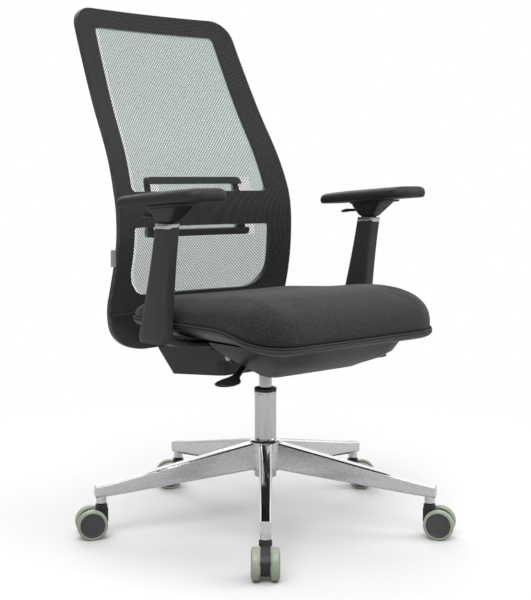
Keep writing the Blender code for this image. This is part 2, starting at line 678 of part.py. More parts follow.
def cowl_row(half_x, front, rear, radius, height, steps=5):
    """One level of the cowl: from the right rear edge, round the front, to the left rear edge."""
    points = [(half_x, rear)]
    for sign, start in ((1.0, 0.0), (-1.0, -90.0)):
        for step in range(steps + 1):
            angle = math.radians(start - 90.0 * step / steps)
            points.append((sign * (half_x - radius) + radius * math.cos(angle),
                           front + radius + radius * math.sin(angle)))
    points.append((-half_x, rear))
    return [(x, y, height(y)) for x, y in points]


def build_cowl(finish, seat):
    """Scoop under the front of the seat, open behind so that the mechanism can reach out."""
    def lifted(height):
        return lambda y: height + COWL_LIFT * smooth_step((-0.10 - y) / 0.11)

    rows = [
        cowl_row(0.185, -0.246, -0.030, 0.060, lambda y: 0.3915 - 0.0115 * smooth_step((-0.16 - y) / 0.09)),
        cowl_row(0.163, -0.238, -0.056, 0.056, lambda y: 0.3680),
        cowl_row(0.130, -0.222, -0.090, 0.050, lambda y: 0.3460 + 0.010 * smooth_step((-0.12 - y) / 0.10)),
        cowl_row(0.104, -0.200, -0.102, 0.045, lifted(0.3290)),
        cowl_row(0.086, -0.182, -0.104, 0.038, lifted(0.3235)),
    ]
    bm = bmesh.new()
    grid = [[bm.verts.new(point) for point in row] for row in rows]
    for upper, lower in zip(grid, grid[1:]):
        for index in range(len(upper) - 1):
            bm.faces.new((upper[index], upper[index + 1], lower[index + 1], lower[index]))
    floor = grid[-1]
    for index in range(len(floor) // 2 - 1):
        bm.faces.new((floor[index], floor[index + 1], floor[-2 - index], floor[-1 - index]))
    bmesh.ops.recalc_face_normals(bm, faces=bm.faces)
    bmesh.ops.solidify(bm, geom=bm.faces, thickness=COWL_WALL)
    make_piece(bm, "seat_cowl", finish, seat)


# --- Back -------------------------------------------------------------------------------------
def back_line(z):
    """How far back the middle of the backrest's front face is at height z."""
    for (low_z, low_y), (high_z, high_y) in zip(BACK_STATIONS, BACK_STATIONS[1:]):
        if z <= high_z:
            return blend(low_y, high_y, (z - low_z) / (high_z - low_z))
    return BACK_STATIONS[-1][1]


def back_wrap(z):
    """How far forward of the middle the side edges are at height z."""
    return blend(0.045, 0.020, smooth_step((z - 0.65) / 0.40))


def back_half(z):
    """Half width of the backrest at height z."""
    if z < 0.460:
        share = (0.460 - z) / (0.460 - BACK_BOTTOM)
        return 0.085 + 0.154 * math.sqrt(max(0.0, 1.0 - share * share))
    side = blend(0.2385, 0.2335, smooth_step((z - 0.46) / 0.14))
    if z > 0.68:
        side = blend(0.2335, 0.2085, (z - 0.68) / (BACK_TOP - 0.68))
    corner = z - (BACK_TOP - BACK_CORNER)
    if corner > 0.0:
        side -= BACK_CORNER - math.sqrt(max(0.0, BACK_CORNER ** 2 - corner ** 2))
    return side


def back_point(x, z, depth):
    """A point of the backrest, depth behind its front face."""
    share = x / back_half(min(max(z, 0.46), 0.95))
    return Vector((x, back_line(z) - back_wrap(z) * share * share + depth, z))


def back_heights(low, high, count):
    """Heights between two levels, drawn closer near the rounded top and bottom."""
    return [blend(low, high, 0.5 - 0.5 * math.cos(math.pi * step / count)) for step in range(count + 1)]


def back_sheet(levels, half, front, rear, columns):
    """A curved panel through the given heights; half gives its half width at a height."""
    bm = bmesh.new()
    rows = len(levels) - 1
    bmesh.ops.create_grid(bm, x_segments=columns, y_segments=rows, size=1.0)
    for vert in bm.verts:
        row = round((vert.co.y + 1.0) / 2.0 * rows)
        z = levels[row]
        vert.co = back_point(vert.co.x * half(z), z, front)
    body = bmesh.ops.extrude_face_region(bm, geom=bm.faces)
    moved = [item for item in body["geom"] if isinstance(item, bmesh.types.BMVert)]
    bmesh.ops.translate(bm, verts=moved, vec=(0.0, rear - front, 0.0))
    return bm


def opening_outline(low, high, low_radius, high_radius, rail, count=8):
    """Side edges follow the back's outline; the corners are cut off by round arcs."""
    right = []
    for step in range(count + 1):
        z = blend(low, high, step / count)
        right.append((back_half(max(z, 0.46)) - rail, z))
    for index, (x, z) in enumerate(right):
        rise = z - low
        fall = high - z
        if rise < low_radius:
            x -= low_radius - math.sqrt(low_radius ** 2 - (low_radius - rise) ** 2)
        if fall < high_radius:
            x -= high_radius - math.sqrt(high_radius ** 2 - (high_radius - fall) ** 2)
        right[index] = (x, z)
    return right + [(-x, z) for x, z in reversed(right)]


def build_frame(finish, back):
    levels = back_heights(BACK_BOTTOM, BACK_TOP, BACK_ROWS)
    frame = make_piece(back_sheet(levels, back_half, 0.0, FRAME_THICK, BACK_COLUMNS), "back_frame",
                       finish, back)
    upper = prism_along_y(opening_outline(CROSSBAR_TOP, OPENING_TOP, 0.012, 0.010, RAIL, 10), 0.0, 0.6)
    lower = prism_along_y(opening_outline(OPENING_BOTTOM, CROSSBAR_BOTTOM, 0.060, 0.006, RAIL, 8), 0.0, 0.6)
    combine(frame, make_tool(upper, "upper_opening", back), "DIFFERENCE")
    combine(frame, make_tool(lower, "lower_opening", back), "DIFFERENCE")


def build_mesh_skin(finish, back):
    levels = back_heights(BACK_BOTTOM, BACK_TOP, BACK_ROWS)[MESH_FIRST_ROW:]
    sheet = back_sheet(levels, back_half, -GAP - MESH_THICK, -GAP, BACK_COLUMNS)
    make_piece(sheet, "back_mesh", finish, back)


def build_lumbar(finish, lumbar):
    """A channel that hugs the crossbar: two bars behind the mesh and a plate behind the crossbar."""
    def half(z):
        return blend(LUMBAR_HALF, LUMBAR_HALF - 0.012, (z - LUMBAR_BOTTOM) / (LUMBAR_TOP - LUMBAR_BOTTOM))

    slot = FRAME_THICK + 0.0035
    body = make_piece(back_sheet(back_heights(LUMBAR_BOTTOM, LUMBAR_TOP, 4), half, 0.003,
                                 slot + LUMBAR_PLATE, 6), "lumbar_support", finish, lumbar)
    space = back_sheet(back_heights(LUMBAR_BOTTOM + LUMBAR_BAR, LUMBAR_TOP - LUMBAR_BAR, 4),
                       lambda z: 0.2, -0.02, slot, 6)
    combine(body, make_tool(space, "lumbar_slot", lumbar), "DIFFERENCE")


def build_label(finish, back):
    edge = back_point(-back_half(0.545), 0.545, FRAME_THICK / 2.0)
    label = box((edge.x - 0.0135, edge.y - 0.0006, 0.5280), (edge.x - 0.0010, edge.y + 0.0006, 0.5620))
    make_piece(label, "side_label", finish, back)


def build_carrier(finish, back):
    """Block behind the mechanism that holds the backrest, with two side plates on the pin."""
    narrow = CARRIER_HALF - 0.012
    rings = [
        [(x, blend(y, 0.18, 0.10) if abs(x) > narrow else y, z) for y, z in CARRIER_SIDE_VIEW]
        for x in (-CARRIER_HALF, -narrow, narrow, CARRIER_HALF)
    ]
    carrier = make_piece(loft(rings), "back_carrier", finish, back)
    seatback = back_sheet(back_heights(BACK_BOTTOM - 0.03, 0.46, 12), lambda z: 0.2, -0.0012,
                          FRAME_THICK + 0.05, 6)
    combine(carrier, make_tool(seatback, "carrier_face", back), "DIFFERENCE")
    for sign in (-1.0, 1.0):
        low = min(sign * SIDE_PLATE_IN, sign * SIDE_PLATE_OUT)
        high = max(sign * SIDE_PLATE_IN, sign * SIDE_PLATE_OUT)
        plate = box((low, RECLINE_Y - 0.011, RECLINE_Z - 0.011), (high, 0.090, RECLINE_Z + 0.009))
        combine(carrier, make_tool(plate, f"carrier_plate_{len(carrier.modifiers)}", back), "UNION")
    hole = rod((-0.1, RECLINE_Y, RECLINE_Z), (0.1, RECLINE_Y, RECLINE_Z), RECLINE_PIN + GAP)
    combine(carrier, make_tool(hole, "carrier_hole", back), "DIFFERENCE")


# --- Arms -------------------------------------------------------------------------------------
def arm_centre(z):
    """Middle of the leaning arm post at height z, as y."""
    return blend(FOOT_Y, COLLAR_Y, (z - FOOT_Z) / (COLLAR_HIGH - FOOT_Z))


def arm_ring(sign, size, z, power=2.6):
    return [(sign * (ARM_X + x), arm_centre(z) + y, z) for x, y in ellipse_like(*size, power)]


def pad_height(y, rise=0.0):
    """Height of a plane parallel to the pad's underside, at a place y."""
    return PAD_BASE_Z + (PAD_CENTRE_Y - y) * math.tan(PAD_SLOPE) + rise


def pad_ring(sign, half_x, front, rear, radius, rise, steps=4):
    points = rounded_rectangle(half_x, front, rear, radius, steps)
    return [(sign * (ARM_X + x), y, pad_height(y, rise)) for x, y in points]


def build_post(name, sign, finish, seat):
    rings = []
    for share in (0.0, 0.06, 0.22, 0.60, 1.0):
        z = blend(FOOT_Z, COLLAR_LOW, share)
        taper = (1.0 - share) ** 1.6
        shrink = 0.86 if share == 0.0 else 1.0
        size = (blend(POST_TOP_SIZE[0], POST_FOOT_SIZE[0], taper) * shrink,
                blend(POST_TOP_SIZE[1], POST_FOOT_SIZE[1], taper) * shrink)
        rings.append(arm_ring(sign, size, z, 3.2))
    post = make_piece(loft(rings), name, finish, seat)
    bracket = []
    for x, low_z, high_z, low_y, high_y in BRACKET_STATIONS:
        bracket.append([(sign * x, low_y, low_z), (sign * x, high_y, low_z),
                        (sign * x, high_y, high_z), (sign * x, low_y, high_z)])
    combine(post, make_tool(loft(bracket), f"{name}_bracket_shape", seat), "UNION")
    pocket = (RISER_SIZE[0] + 0.0012, RISER_SIZE[1] + 0.0012)
    space = loft([arm_ring(sign, pocket, COLLAR_LOW - POCKET_DEPTH), arm_ring(sign, pocket, COLLAR_LOW + 0.01)])
    combine(post, make_tool(space, f"{name}_pocket", seat), "DIFFERENCE")


def build_collar(name, sign, finish, seat):
    inner = (RISER_SIZE[0] + 0.0012, RISER_SIZE[1] + 0.0012)
    collar = make_piece(loft([arm_ring(sign, POST_TOP_SIZE, COLLAR_LOW + GAP, 3.2),
                              arm_ring(sign, POST_TOP_SIZE, COLLAR_HIGH, 3.2)]), name, finish, seat)
    space = loft([arm_ring(sign, inner, COLLAR_LOW - 0.01), arm_ring(sign, inner, COLLAR_HIGH + 0.01)])
    combine(collar, make_tool(space, f"{name}_bore", seat), "DIFFERENCE")


def build_riser(name, sign, finish, riser):
    """Bar that slides in the post, flared at the top to carry the pad's plate."""
    flare_low = COLLAR_HIGH + 0.004
    rings = [
        arm_ring(sign, RISER_SIZE, COLLAR_LOW - RISER_REACH),
        arm_ring(sign, RISER_SIZE, flare_low - 0.003),
        arm_ring(sign, (0.0260, 0.0430), flare_low),
        arm_ring(sign, (0.0300, 0.0480), flare_low + 0.006),
    ]
    top = []
    for x, y in ellipse_like(0.056, 0.086, 3.0):
        place = PAD_CENTRE_Y + 0.002 + y
        top.append((sign * (ARM_X + x), place, pad_height(place, -PAD_PLATE_THICK - 2 * GAP)))
    rings.append([(x, y, z - 0.003) for x, y, z in top])
    rings.append(top)
    make_piece(loft(rings), name, finish, riser)


def build_arm_button(name, sign, finish, pivot):
    """Trigger behind the flare that frees the riser."""
    rings = []
    for y, half_x, low, high in ((0.0100, 0.0070, 0.6330, 0.6390), (0.0300, 0.0100, 0.6325, 0.6385),
                                 (0.0440, 0.0080, 0.6300, 0.6350)):
        rings.append([(sign * (ARM_X - half_x), y, low), (sign * (ARM_X + half_x), y, low),
                      (sign * (ARM_X + half_x), y, high), (sign * (ARM_X - half_x), y, high)])
    make_piece(loft(rings), name, finish, pivot)


def build_pad_plate(name, sign, finish, pivot):
    rise = -PAD_PLATE_THICK - GAP
    rings = [pad_ring(sign, 0.0300, -0.1150, 0.0180, 0.012, rise),
             pad_ring(sign, 0.0320, -0.1180, 0.0200, 0.014, rise + 0.0015),
             pad_ring(sign, 0.0320, -0.1180, 0.0200, 0.014, -GAP)]
    make_piece(loft(rings), name, finish, pivot)


def build_pad(name, sign, finish, pivot):
    front = PAD_CENTRE_Y - PAD_LENGTH / 2.0
    rear = PAD_CENTRE_Y + PAD_LENGTH / 2.0
    half = PAD_WIDTH / 2.0
    rings = [pad_ring(sign, half - 0.006, front + 0.006, rear - 0.006, PAD_CORNER - 0.005, 0.0),
             pad_ring(sign, half, front, rear, PAD_CORNER, 0.007),
             pad_ring(sign, half, front, rear, PAD_CORNER, 0.015),
             pad_ring(sign, half - 0.006, front + 0.006, rear - 0.006, PAD_CORNER - 0.005, PAD_THICK - 0.002),
             pad_ring(sign, half - 0.018, front + 0.018, rear - 0.018, PAD_CORNER - 0.016, PAD_THICK)]
    make_piece(loft(rings), name, finish, pivot)


# --- Whole chair ------------------------------------------------------------------------------
def make_finishes():
    return {
        "black": make_material("black_plastic", (0.020, 0.020, 0.022), 0.45),
        "shell": make_material("shell_plastic", (0.045, 0.046, 0.048), 0.50),
        "pad": make_material("soft_pad", (0.028, 0.028, 0.032), 0.55),
        "tyre": make_material("tyre", (0.36, 0.42, 0.34), 0.45),
        "chrome": make_material("chrome", (0.80, 0.80, 0.82), 0.08, 1.0),
        "aluminium": make_material("polished_aluminium", (0.78, 0.78, 0.80), 0.18, 1.0),
        "steel": make_material("steel", (0.55, 0.55, 0.57), 0.30, 1.0),
        "dark_steel": make_material("dark_steel", (0.06, 0.06, 0.065), 0.45, 0.6),
        "fabric": make_material("seat_fabric", (0.045, 0.043, 0.050), 0.95),
        "mesh": make_material("mesh_fabric", (0.030, 0.030, 0.032), 0.85),
        "wood": make_material("plywood", (0.42, 0.30, 0.18), 0.70),
        "label": make_material("label", (0.32, 0.31, 0.30), 0.80),
    }


def build_arm(side, sign, finishes, seat):
    top = (sign * ARM_X, arm_centre(COLLAR_HIGH), COLLAR_HIGH)
    build_post(f"{side}_arm_post", sign, finishes["shell"], seat)
    build_collar(f"{side}_arm_collar", sign, finishes["chrome"], seat)
    riser = make_pivot(f"{side}_arm_height", top, seat)
    build_riser(f"{side}_arm_riser", sign, finishes["black"], riser)
    trigger = make_pivot(f"{side}_arm_trigger", (sign * ARM_X, 0.03, 0.635), riser)
    build_arm_button(f"{side}_arm_button", sign, finishes["shell"], trigger)
    turn = make_pivot(f"{side}_pad_turn", (sign * ARM_X, PAD_CENTRE_Y, pad_height(PAD_CENTRE_Y)), riser)
    build_pad_plate(f"{side}_pad_plate", sign, finishes["black"], turn)
    slide = make_pivot(f"{side}_pad_slide", turn.place, turn)
    build_pad(f"{side}_arm_pad", sign, finishes["pad"], slide)


def main():
    clear_scene()
    finishes = make_finishes()
    chair = make_pivot("chair", (AXIS_X, AXIS_Y, 0.0))
    build_base(finishes["aluminium"], chair)
    for number, (leg, trail) in enumerate(zip(LEG_ANGLES, CASTER_ANGLES), 1):
        build_caster(number, leg, trail, finishes, chair)

    spindle = make_pivot("spindle", (0.0, 0.0, TUBE_BOTTOM), chair)
    lift = make_pivot("lift", (0.0, 0.0, CYLINDER_TOP), spindle)
    valve = make_pivot("valve", (0.0, 0.0, CYLINDER_TOP), lift)
    build_column(finishes, chair, spindle, lift, valve)

    build_housing(finishes, lift)
    pin_half = SIDE_PLATE_OUT + PIN_HEAD_THICK + 2 * GAP
    make_piece(headed_pin(RECLINE_Y, RECLINE_Z, RECLINE_PIN, pin_half), "recline_pin", finishes["steel"], lift)
    make_piece(headed_pin(TILT_Y, TILT_Z, TILT_PIN, pin_half), "front_pin", finishes["steel"], lift)
    build_spring(finishes["steel"], lift)
    for name, sign, droop in (("height_lever", -1.0, 1.0), ("tilt_lock_lever", 1.0, 0.2)):
        pivot = make_pivot(f"{name}_pivot", (sign * LEVER_X, LEVER_Y, LEVER_Z), lift)
        build_lever(name, sign, droop, finishes["black"], pivot)
        build_lever_pin(f"{name}_pin", sign, finishes["steel"], lift)

    seat = make_pivot("seat_tilt", (0.0, TILT_Y, TILT_Z), lift)
    build_seat_plate(finishes["dark_steel"], seat)
    build_shell(finishes["shell"], seat)
    build_cowl(finishes["shell"], seat)
    build_pan(finishes["wood"], seat)
    build_cushion(finishes["fabric"], seat)

    back = make_pivot("back_recline", (0.0, RECLINE_Y, RECLINE_Z), lift)
    build_carrier(finishes["black"], back)
    build_frame(finishes["black"], back)
    build_mesh_skin(finishes["mesh"], back)
    build_label(finishes["label"], back)
    lumbar = make_pivot("lumbar_slide", (0.0, back_line(0.64), 0.64), back)
    build_lumbar(finishes["black"], lumbar)

    for side, sign in (("right", -1.0), ("left", 1.0)):
        build_arm(side, sign, finishes, seat)


main()
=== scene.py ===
"""Swivel office chair: the finished pieces of its looks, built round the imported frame.

Metres, +Z up; the sitter faces -Y, with the right hand at -X. Shapes are given from the swivel
axis, and each finished mesh is moved to where that axis stands.
"""
import json
import logging
import math
from dataclasses import dataclass, field
from enum import Enum
from typing import Callable, ClassVar, Iterable, Optional, Sequence

import bmesh
import bpy
from mathutils import Matrix, Vector


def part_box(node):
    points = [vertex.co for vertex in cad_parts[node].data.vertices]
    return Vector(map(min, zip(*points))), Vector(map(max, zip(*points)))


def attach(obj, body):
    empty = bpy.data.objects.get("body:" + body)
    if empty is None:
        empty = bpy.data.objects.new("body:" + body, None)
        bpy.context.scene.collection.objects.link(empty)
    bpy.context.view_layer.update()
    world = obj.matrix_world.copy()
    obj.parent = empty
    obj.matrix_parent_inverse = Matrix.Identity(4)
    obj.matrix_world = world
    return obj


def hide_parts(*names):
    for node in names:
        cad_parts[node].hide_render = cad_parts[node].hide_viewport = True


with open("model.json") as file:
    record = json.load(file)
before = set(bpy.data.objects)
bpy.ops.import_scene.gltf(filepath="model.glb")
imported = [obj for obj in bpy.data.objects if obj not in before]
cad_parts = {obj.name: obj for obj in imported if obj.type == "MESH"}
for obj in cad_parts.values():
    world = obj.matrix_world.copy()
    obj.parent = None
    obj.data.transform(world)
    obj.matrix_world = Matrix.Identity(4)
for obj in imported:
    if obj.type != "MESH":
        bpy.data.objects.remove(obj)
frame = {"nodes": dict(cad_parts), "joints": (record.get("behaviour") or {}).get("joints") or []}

LOG = logging.getLogger("office_chair")
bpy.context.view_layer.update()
TUBE_LOW, TUBE_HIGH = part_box("column_tube")
AXIS = Vector(((TUBE_LOW.x + TUBE_HIGH.x) / 2.0, (TUBE_LOW.y + TUBE_HIGH.y) / 2.0, 0.0))
SHARP = 32.0
WHITE = (1.0, 1.0, 1.0, 1.0)

Flat = tuple[float, float]
Point = tuple[float, float, float]
Rows = tuple[tuple[float, ...], ...]
Height = Callable[[float], float]
Mesh = bmesh.types.BMesh
Thing = bpy.types.Object
Material = bpy.types.Material
Node = bpy.types.Node
Socket = bpy.types.NodeSocket
Feeds = dict[str | int, object]


class Side(Enum):
    """Which arm of the chair, with the sign of its x."""

    RIGHT = ("right", -1.0)
    LEFT = ("left", 1.0)


class Grain(Enum):
    """How a moulded surface is textured: cells a metre across, and depth in metres."""

    FINE = (1400.0, 0.00006)
    COARSE = (900.0, 0.00012)
    SMOOTH = (2200.0, 0.00002)


# --- Finishes -------------------------------------------------------------------------------------
class Wiring:
    """Adds shader nodes to a tree; an input is fed with a socket or a plain value."""

    def __init__(self, tree: bpy.types.NodeTree) -> None:
        """Work on one tree."""
        self.tree = tree

    def feed(self, target: Socket, value: object) -> None:
        """Link a socket to an input, or set the input to a plain value."""
        if isinstance(value, Socket):
            self.tree.links.new(value, target)
        else:
            target.default_value = value

    def node(self, kind: str, feeds: Optional[Feeds] = None, **values: object) -> Node:
        """Add a node.

        Args:
            kind: the node's type, without its ShaderNode.
            feeds: what its inputs are fed with.
            values: properties to set on it.

        Returns:
            The new node.
        """
        made = self.tree.nodes.new(f"ShaderNode{kind}")
        for key, value in values.items():
            setattr(made, key, value)
        for key, value in (feeds or {}).items():
            self.feed(made.inputs[key], value)
        return made

    def place(self, kind: str = "Object") -> Socket:
        """Give the coordinates of what is shaded."""
        return self.node("TexCoord").outputs[kind]

    def noise(self, place: Socket, scale: object, detail: float = 2.0) -> Socket:
        """Give a noise over a place, with scale in cells a metre."""
        return self.node("TexNoise", {"Vector": place, "Scale": scale, "Detail": detail}).outputs["Fac"]

    def spread(self, value: Socket, low: float, high: float, start: float = 0.3,
               end: float = 0.7) -> Socket:
        """Map a value's range, start to end, onto low to high."""
        return self.node("MapRange", {"Value": value, "From Min": start, "From Max": end,
                                      "To Min": low, "To Max": high}).outputs["Result"]

    def math(self, operation: str, first: object, second: object) -> Socket:
        """Give the result of an operation on two values."""
        return self.node("Math", {0: first, 1: second}, operation=operation).outputs[0]

    def plus(self, first: object, second: object) -> Socket:
        """Add two values."""
        return self.math("ADD", first, second)

    def times(self, first: object, second: object) -> Socket:
        """Multiply two values."""
        return self.math("MULTIPLY", first, second)

    def vector(self, operation: str, feeds: Feeds, result: str = "Vector") -> Socket:
        """Give a result of an operation on vectors."""
        return self.node("VectorMath", feeds, operation=operation).outputs[result]

    def shade(self, colour: Socket, factor: Socket) -> Socket:
        """Multiply a colour by a value."""
        return self.vector("SCALE", {0: colour, "Scale": factor})

    def mix(self, factor: Socket, first: object, second: object) -> Socket:
        """Mix two colours."""
        return self.node("Mix", {"Factor": factor, "A": first, "B": second},
                         data_type="RGBA").outputs["Result"]


@dataclass(frozen=True)
class Finish:
    """A finish: the plain numbers of its shader, and the shared group that varies them."""

    group: ClassVar[str] = ""
    name: str
    colour: Point
    roughness: float
    metallic: float = 0.0
    sheen: float = 0.0
    specular: float = 0.5
    alpha: float = 1.0
    depth: float = 0.0004

    def start(self) -> tuple[Material, Wiring, Node]:
        """Make the material with its shader's constants set.

        Returns:
            The material, its wiring and its Principled shader.
        """
        material = bpy.data.materials.new(self.name)
        material.use_nodes = True
        shader = material.node_tree.nodes["Principled BSDF"]
        for label, value in (("Base Color", (*self.colour, 1.0)), ("Roughness", self.roughness),
                             ("Metallic", self.metallic), ("Sheen Weight", self.sheen),
                             ("Specular IOR Level", self.specular), ("Alpha", self.alpha)):
            shader.inputs[label].default_value = value
        return material, Wiring(material.node_tree), shader

    def values(self) -> Feeds:
        """Give what the shared group's inputs are set to."""
        return {}

    def wired(self, wires: Wiring, given: dict[str, Socket]) -> dict[str, Socket]:
        """Wire the shared group's inside.

        Args:
            wires: the group's wiring.
            given: its inputs.

        Returns:
            What each of its outputs is fed with.
        """
        raise NotImplementedError

    def relief(self) -> float:
        """Give how deep the relief is, in metres."""
        return self.depth

    def gloss(self, wires: Wiring, rough: Socket) -> Socket:
        """Give the shader's roughness from the shared group's."""
        return rough

    def shared(self, wires: Wiring) -> Node:
        """Place the shared group in a material, building it the first time.

        Args:
            wires: the material's wiring.

        Returns:
            The group's node.
        """
        values = self.values()
        group = bpy.data.node_groups.get(self.group)
        if group is None:
            group = bpy.data.node_groups.new(self.group, "ShaderNodeTree")
            for label, value in values.items():
                size = len(value) if isinstance(value, tuple) else 1
                kind = {1: "NodeSocketFloat", 3: "NodeSocketVector", 4: "NodeSocketColor"}[size]
                group.interface.new_socket(name=label, in_out="INPUT", socket_type=kind)
            inside = Wiring(group)
            results = self.wired(inside, group.nodes.new("NodeGroupInput").outputs)
            for label in results:
                kind = "NodeSocketColor" if label == "Colour" else "NodeSocketFloat"
                group.interface.new_socket(name=label, in_out="OUTPUT", socket_type=kind)
            out = group.nodes.new("NodeGroupOutput")
            for label, value in results.items():
                inside.feed(out.inputs[label], value)
        return wires.node("Group", values, node_tree=group)

    def build(self) -> Material:
        """Make the material.

        Returns:
            The material.
        """
        material, wires, shader = self.start()
        made = self.shared(wires).outputs
        if "Colour" in made:
            wires.feed(shader.inputs["Base Color"], made["Colour"])
        if "Roughness" in made:
            wires.feed(shader.inputs["Roughness"], self.gloss(wires, made["Roughness"]))
        bump = wires.node("Bump", {"Height": made["Height"], "Distance": self.relief(), "Strength": 1.0})
        wires.feed(shader.inputs["Normal"], bump.outputs["Normal"])
        return material


@dataclass(frozen=True)
class MouldedFinish(Finish):
    """Plastic, rubber or painted metal: fine pimples, uneven gloss, and a painted highlight along the
    edges.
    """

    group: ClassVar[str] = "moulded_grain"
    grain: Grain = Grain.FINE
    # strength of the painted highlight along edges
    edge_highlight: float = 0.3

    def values(self) -> Feeds:
        """Give what the shared group's inputs are set to."""
        return {"Colour": (*self.colour, 1.0), "Roughness": self.roughness,
                "Cells": self.grain.value[0], "Edge Highlight": self.edge_highlight}

    def relief(self) -> float:
        """Give how deep the relief is, in metres."""
        return self.grain.value[1]

    def wired(self, wires: Wiring, given: dict[str, Socket]) -> dict[str, Socket]:
        """Wire the grain and the painted edge highlight.

        Args:
            wires: the group's wiring.
            given: its inputs.

        Returns:
            What each of its outputs is fed with.
        """
        place = wires.place()
        fine = wires.noise(place, given["Cells"], 3.0)
        broad = wires.noise(place, 16.0, 3.0)
        rounded = wires.node("Bevel", {"Radius": 0.0016}, samples=4).outputs["Normal"]
        plain = wires.node("NewGeometry").outputs["True Normal"]
        # painted highlight: edges are lighter where the bevelled normal turns away from the flat one,
        # varied by broad noise
        edge = wires.spread(wires.vector("DOT_PRODUCT", {0: rounded, 1: plain}, "Value"),
                            1.0, 0.0, 0.80, 0.995)
        edge_light = wires.times(wires.times(edge, wires.spread(broad, 0.3, 1.0)), given["Edge Highlight"])
        tone = wires.times(wires.spread(broad, 0.88, 1.12), wires.spread(fine, 0.86, 1.14))
        gloss = wires.plus(given["Roughness"], wires.spread(broad, -0.05, 0.05))
        # the painted edge highlight lightens the colour
        return {"Colour": wires.shade(given["Colour"], wires.plus(tone, wires.times(edge_light, 1.6))),
                "Roughness": wires.math("SUBTRACT", gloss, wires.times(edge_light, 0.1)), "Height": fine}


@dataclass(frozen=True)
class MetalFinish(Finish):
    """Polished or drawn metal: hairlines one way and faint smudges.

    Satin is how much rougher the faces are that don't look up.
    """

    group: ClassVar[str] = "drawn_metal"
    metallic: float = 1.0
    depth: float = 0.000004
    smudge: float = 0.08
    stretch: Point = (900.0, 900.0, 20.0)
    satin: float = 0.0

    def values(self) -> Feeds:
        """Give what the shared group's inputs are set to."""
        return {"Roughness": self.roughness, "Smudge": self.smudge, "Stretch": self.stretch}

    def gloss(self, wires: Wiring, rough: Socket) -> Socket:
        """Make the faces that don't look up rougher.

        Args:
            wires: the material's wiring.
            rough: the shared group's roughness.

        Returns:
            The shader's roughness.
        """
        if not self.satin:
            return rough
        normal = wires.node("NewGeometry").outputs["Normal"]
        up = wires.node("SeparateXYZ", {0: normal}).outputs["Z"]
        return wires.plus(rough, wires.spread(up, self.satin, 0.0, 0.45, 0.75))

    def wired(self, wires: Wiring, given: dict[str, Socket]) -> dict[str, Socket]:
        """Wire the hairlines and smudges.

        Args:
            wires: the group's wiring.
            given: its inputs.

        Returns:
            What each of its outputs is fed with.
        """
        place = wires.place()
        lines = wires.noise(wires.vector("MULTIPLY", {0: place, 1: given["Stretch"]}), 1.0, 3.0)
        smudge = wires.spread(wires.noise(place, 22.0, 4.0), 0.0, 1.0, 0.4, 0.75)
        haze = wires.plus(given["Roughness"], wires.times(smudge, given["Smudge"]))
        return {"Roughness": wires.plus(haze, wires.spread(lines, -0.02, 0.03)), "Height": lines}


@dataclass(frozen=True)
class FabricFinish(Finish):
    """Melange upholstery: light flecks on dark yarn, in small crossed threads."""

    group: ClassVar[str] = "melange_weave"
    fleck: Point = (0.2, 0.2, 0.2)
    threads: float = 900.0

    def values(self) -> Feeds:
        """Give what the shared group's inputs are set to."""
        return {"Yarn": (*self.colour, 1.0), "Fleck": (*self.fleck, 1.0), "Threads": self.threads}

    def wired(self, wires: Wiring, given: dict[str, Socket]) -> dict[str, Socket]:
        """Wire the weave.

        Args:
            wires: the group's wiring.
            given: its inputs.

        Returns:
            What each of its outputs is fed with.
        """
        place = wires.place()
        threads = wires.node("TexVoronoi", {"Vector": place, "Scale": given["Threads"]},
                             feature="F1").outputs["Distance"]
        flecks, clumps, broad = (wires.noise(place, 950.0, 3.0), wires.noise(place, 420.0),
                                 wires.noise(place, 9.0))
        picked = wires.plus(wires.times(flecks, 0.62), wires.times(clumps, 0.38))
        mixed = wires.mix(wires.spread(picked, 0.0, 1.0, 0.50, 0.66), given["Yarn"], given["Fleck"])
        tone = wires.times(wires.spread(threads, 1.15, 0.70, 0.0, 0.6), wires.spread(broad, 0.90, 1.10))
        return {"Colour": wires.shade(mixed, tone), "Roughness": wires.spread(flecks, 0.86, 0.98),
                "Height": wires.math("SUBTRACT", wires.times(flecks, 0.6), threads)}


@dataclass(frozen=True)
class KnitFinish(Finish):
    """Knit pulled over a hard part, or its yarn alone: rows of small loops over a dark ground."""

    group: ClassVar[str] = "knit_rows"
    gap: Point = (0.01, 0.01, 0.01)
    loops: float = 260.0

    def values(self) -> Feeds:
        """Give what the shared group's inputs are set to."""
        return {"Yarn": (*self.colour, 1.0), "Gap": (*self.gap, 1.0), "Loops": self.loops}

    def wired(self, wires: Wiring, given: dict[str, Socket]) -> dict[str, Socket]:
        """Wire the loops.

        Args:
            wires: the group's wiring.
            given: its inputs.

        Returns:
            What each of its outputs is fed with.
        """
        place = wires.place()
        loops = wires.node("TexVoronoi", {"Vector": place, "Scale": given["Loops"]},
                           feature="SMOOTH_F1")
        loops.inputs["Randomness"].default_value = 0.25
        mask = wires.spread(loops.outputs["Distance"], 1.0, 0.0, 0.25, 0.52)
        mixed = wires.mix(mask, given["Gap"], given["Yarn"])
        fuzz = wires.spread(wires.noise(place, 1500.0), 0.75, 1.25)
        return {"Colour": wires.shade(mixed, fuzz), "Height": mask}


@dataclass(frozen=True)
class PlyFinish(Finish):
    """Plywood: thin bands of layers seen on the edge."""

    layer: float = 0.0012

    def build(self) -> Material:
        """Make the material.

        Returns:
            The material.
        """
        material, wires, shader = self.start()
        bands = wires.node("TexWave", {"Vector": wires.place(), "Distortion": 1.5,
                                       "Scale": 0.5 / self.layer / math.pi}, bands_direction="Z")
        dark = (*(value * 0.55 for value in self.colour), 1.0)
        wires.feed(shader.inputs["Base Color"],
                   wires.mix(bands.outputs["Fac"], (*self.colour, 1.0), dark))
        return material


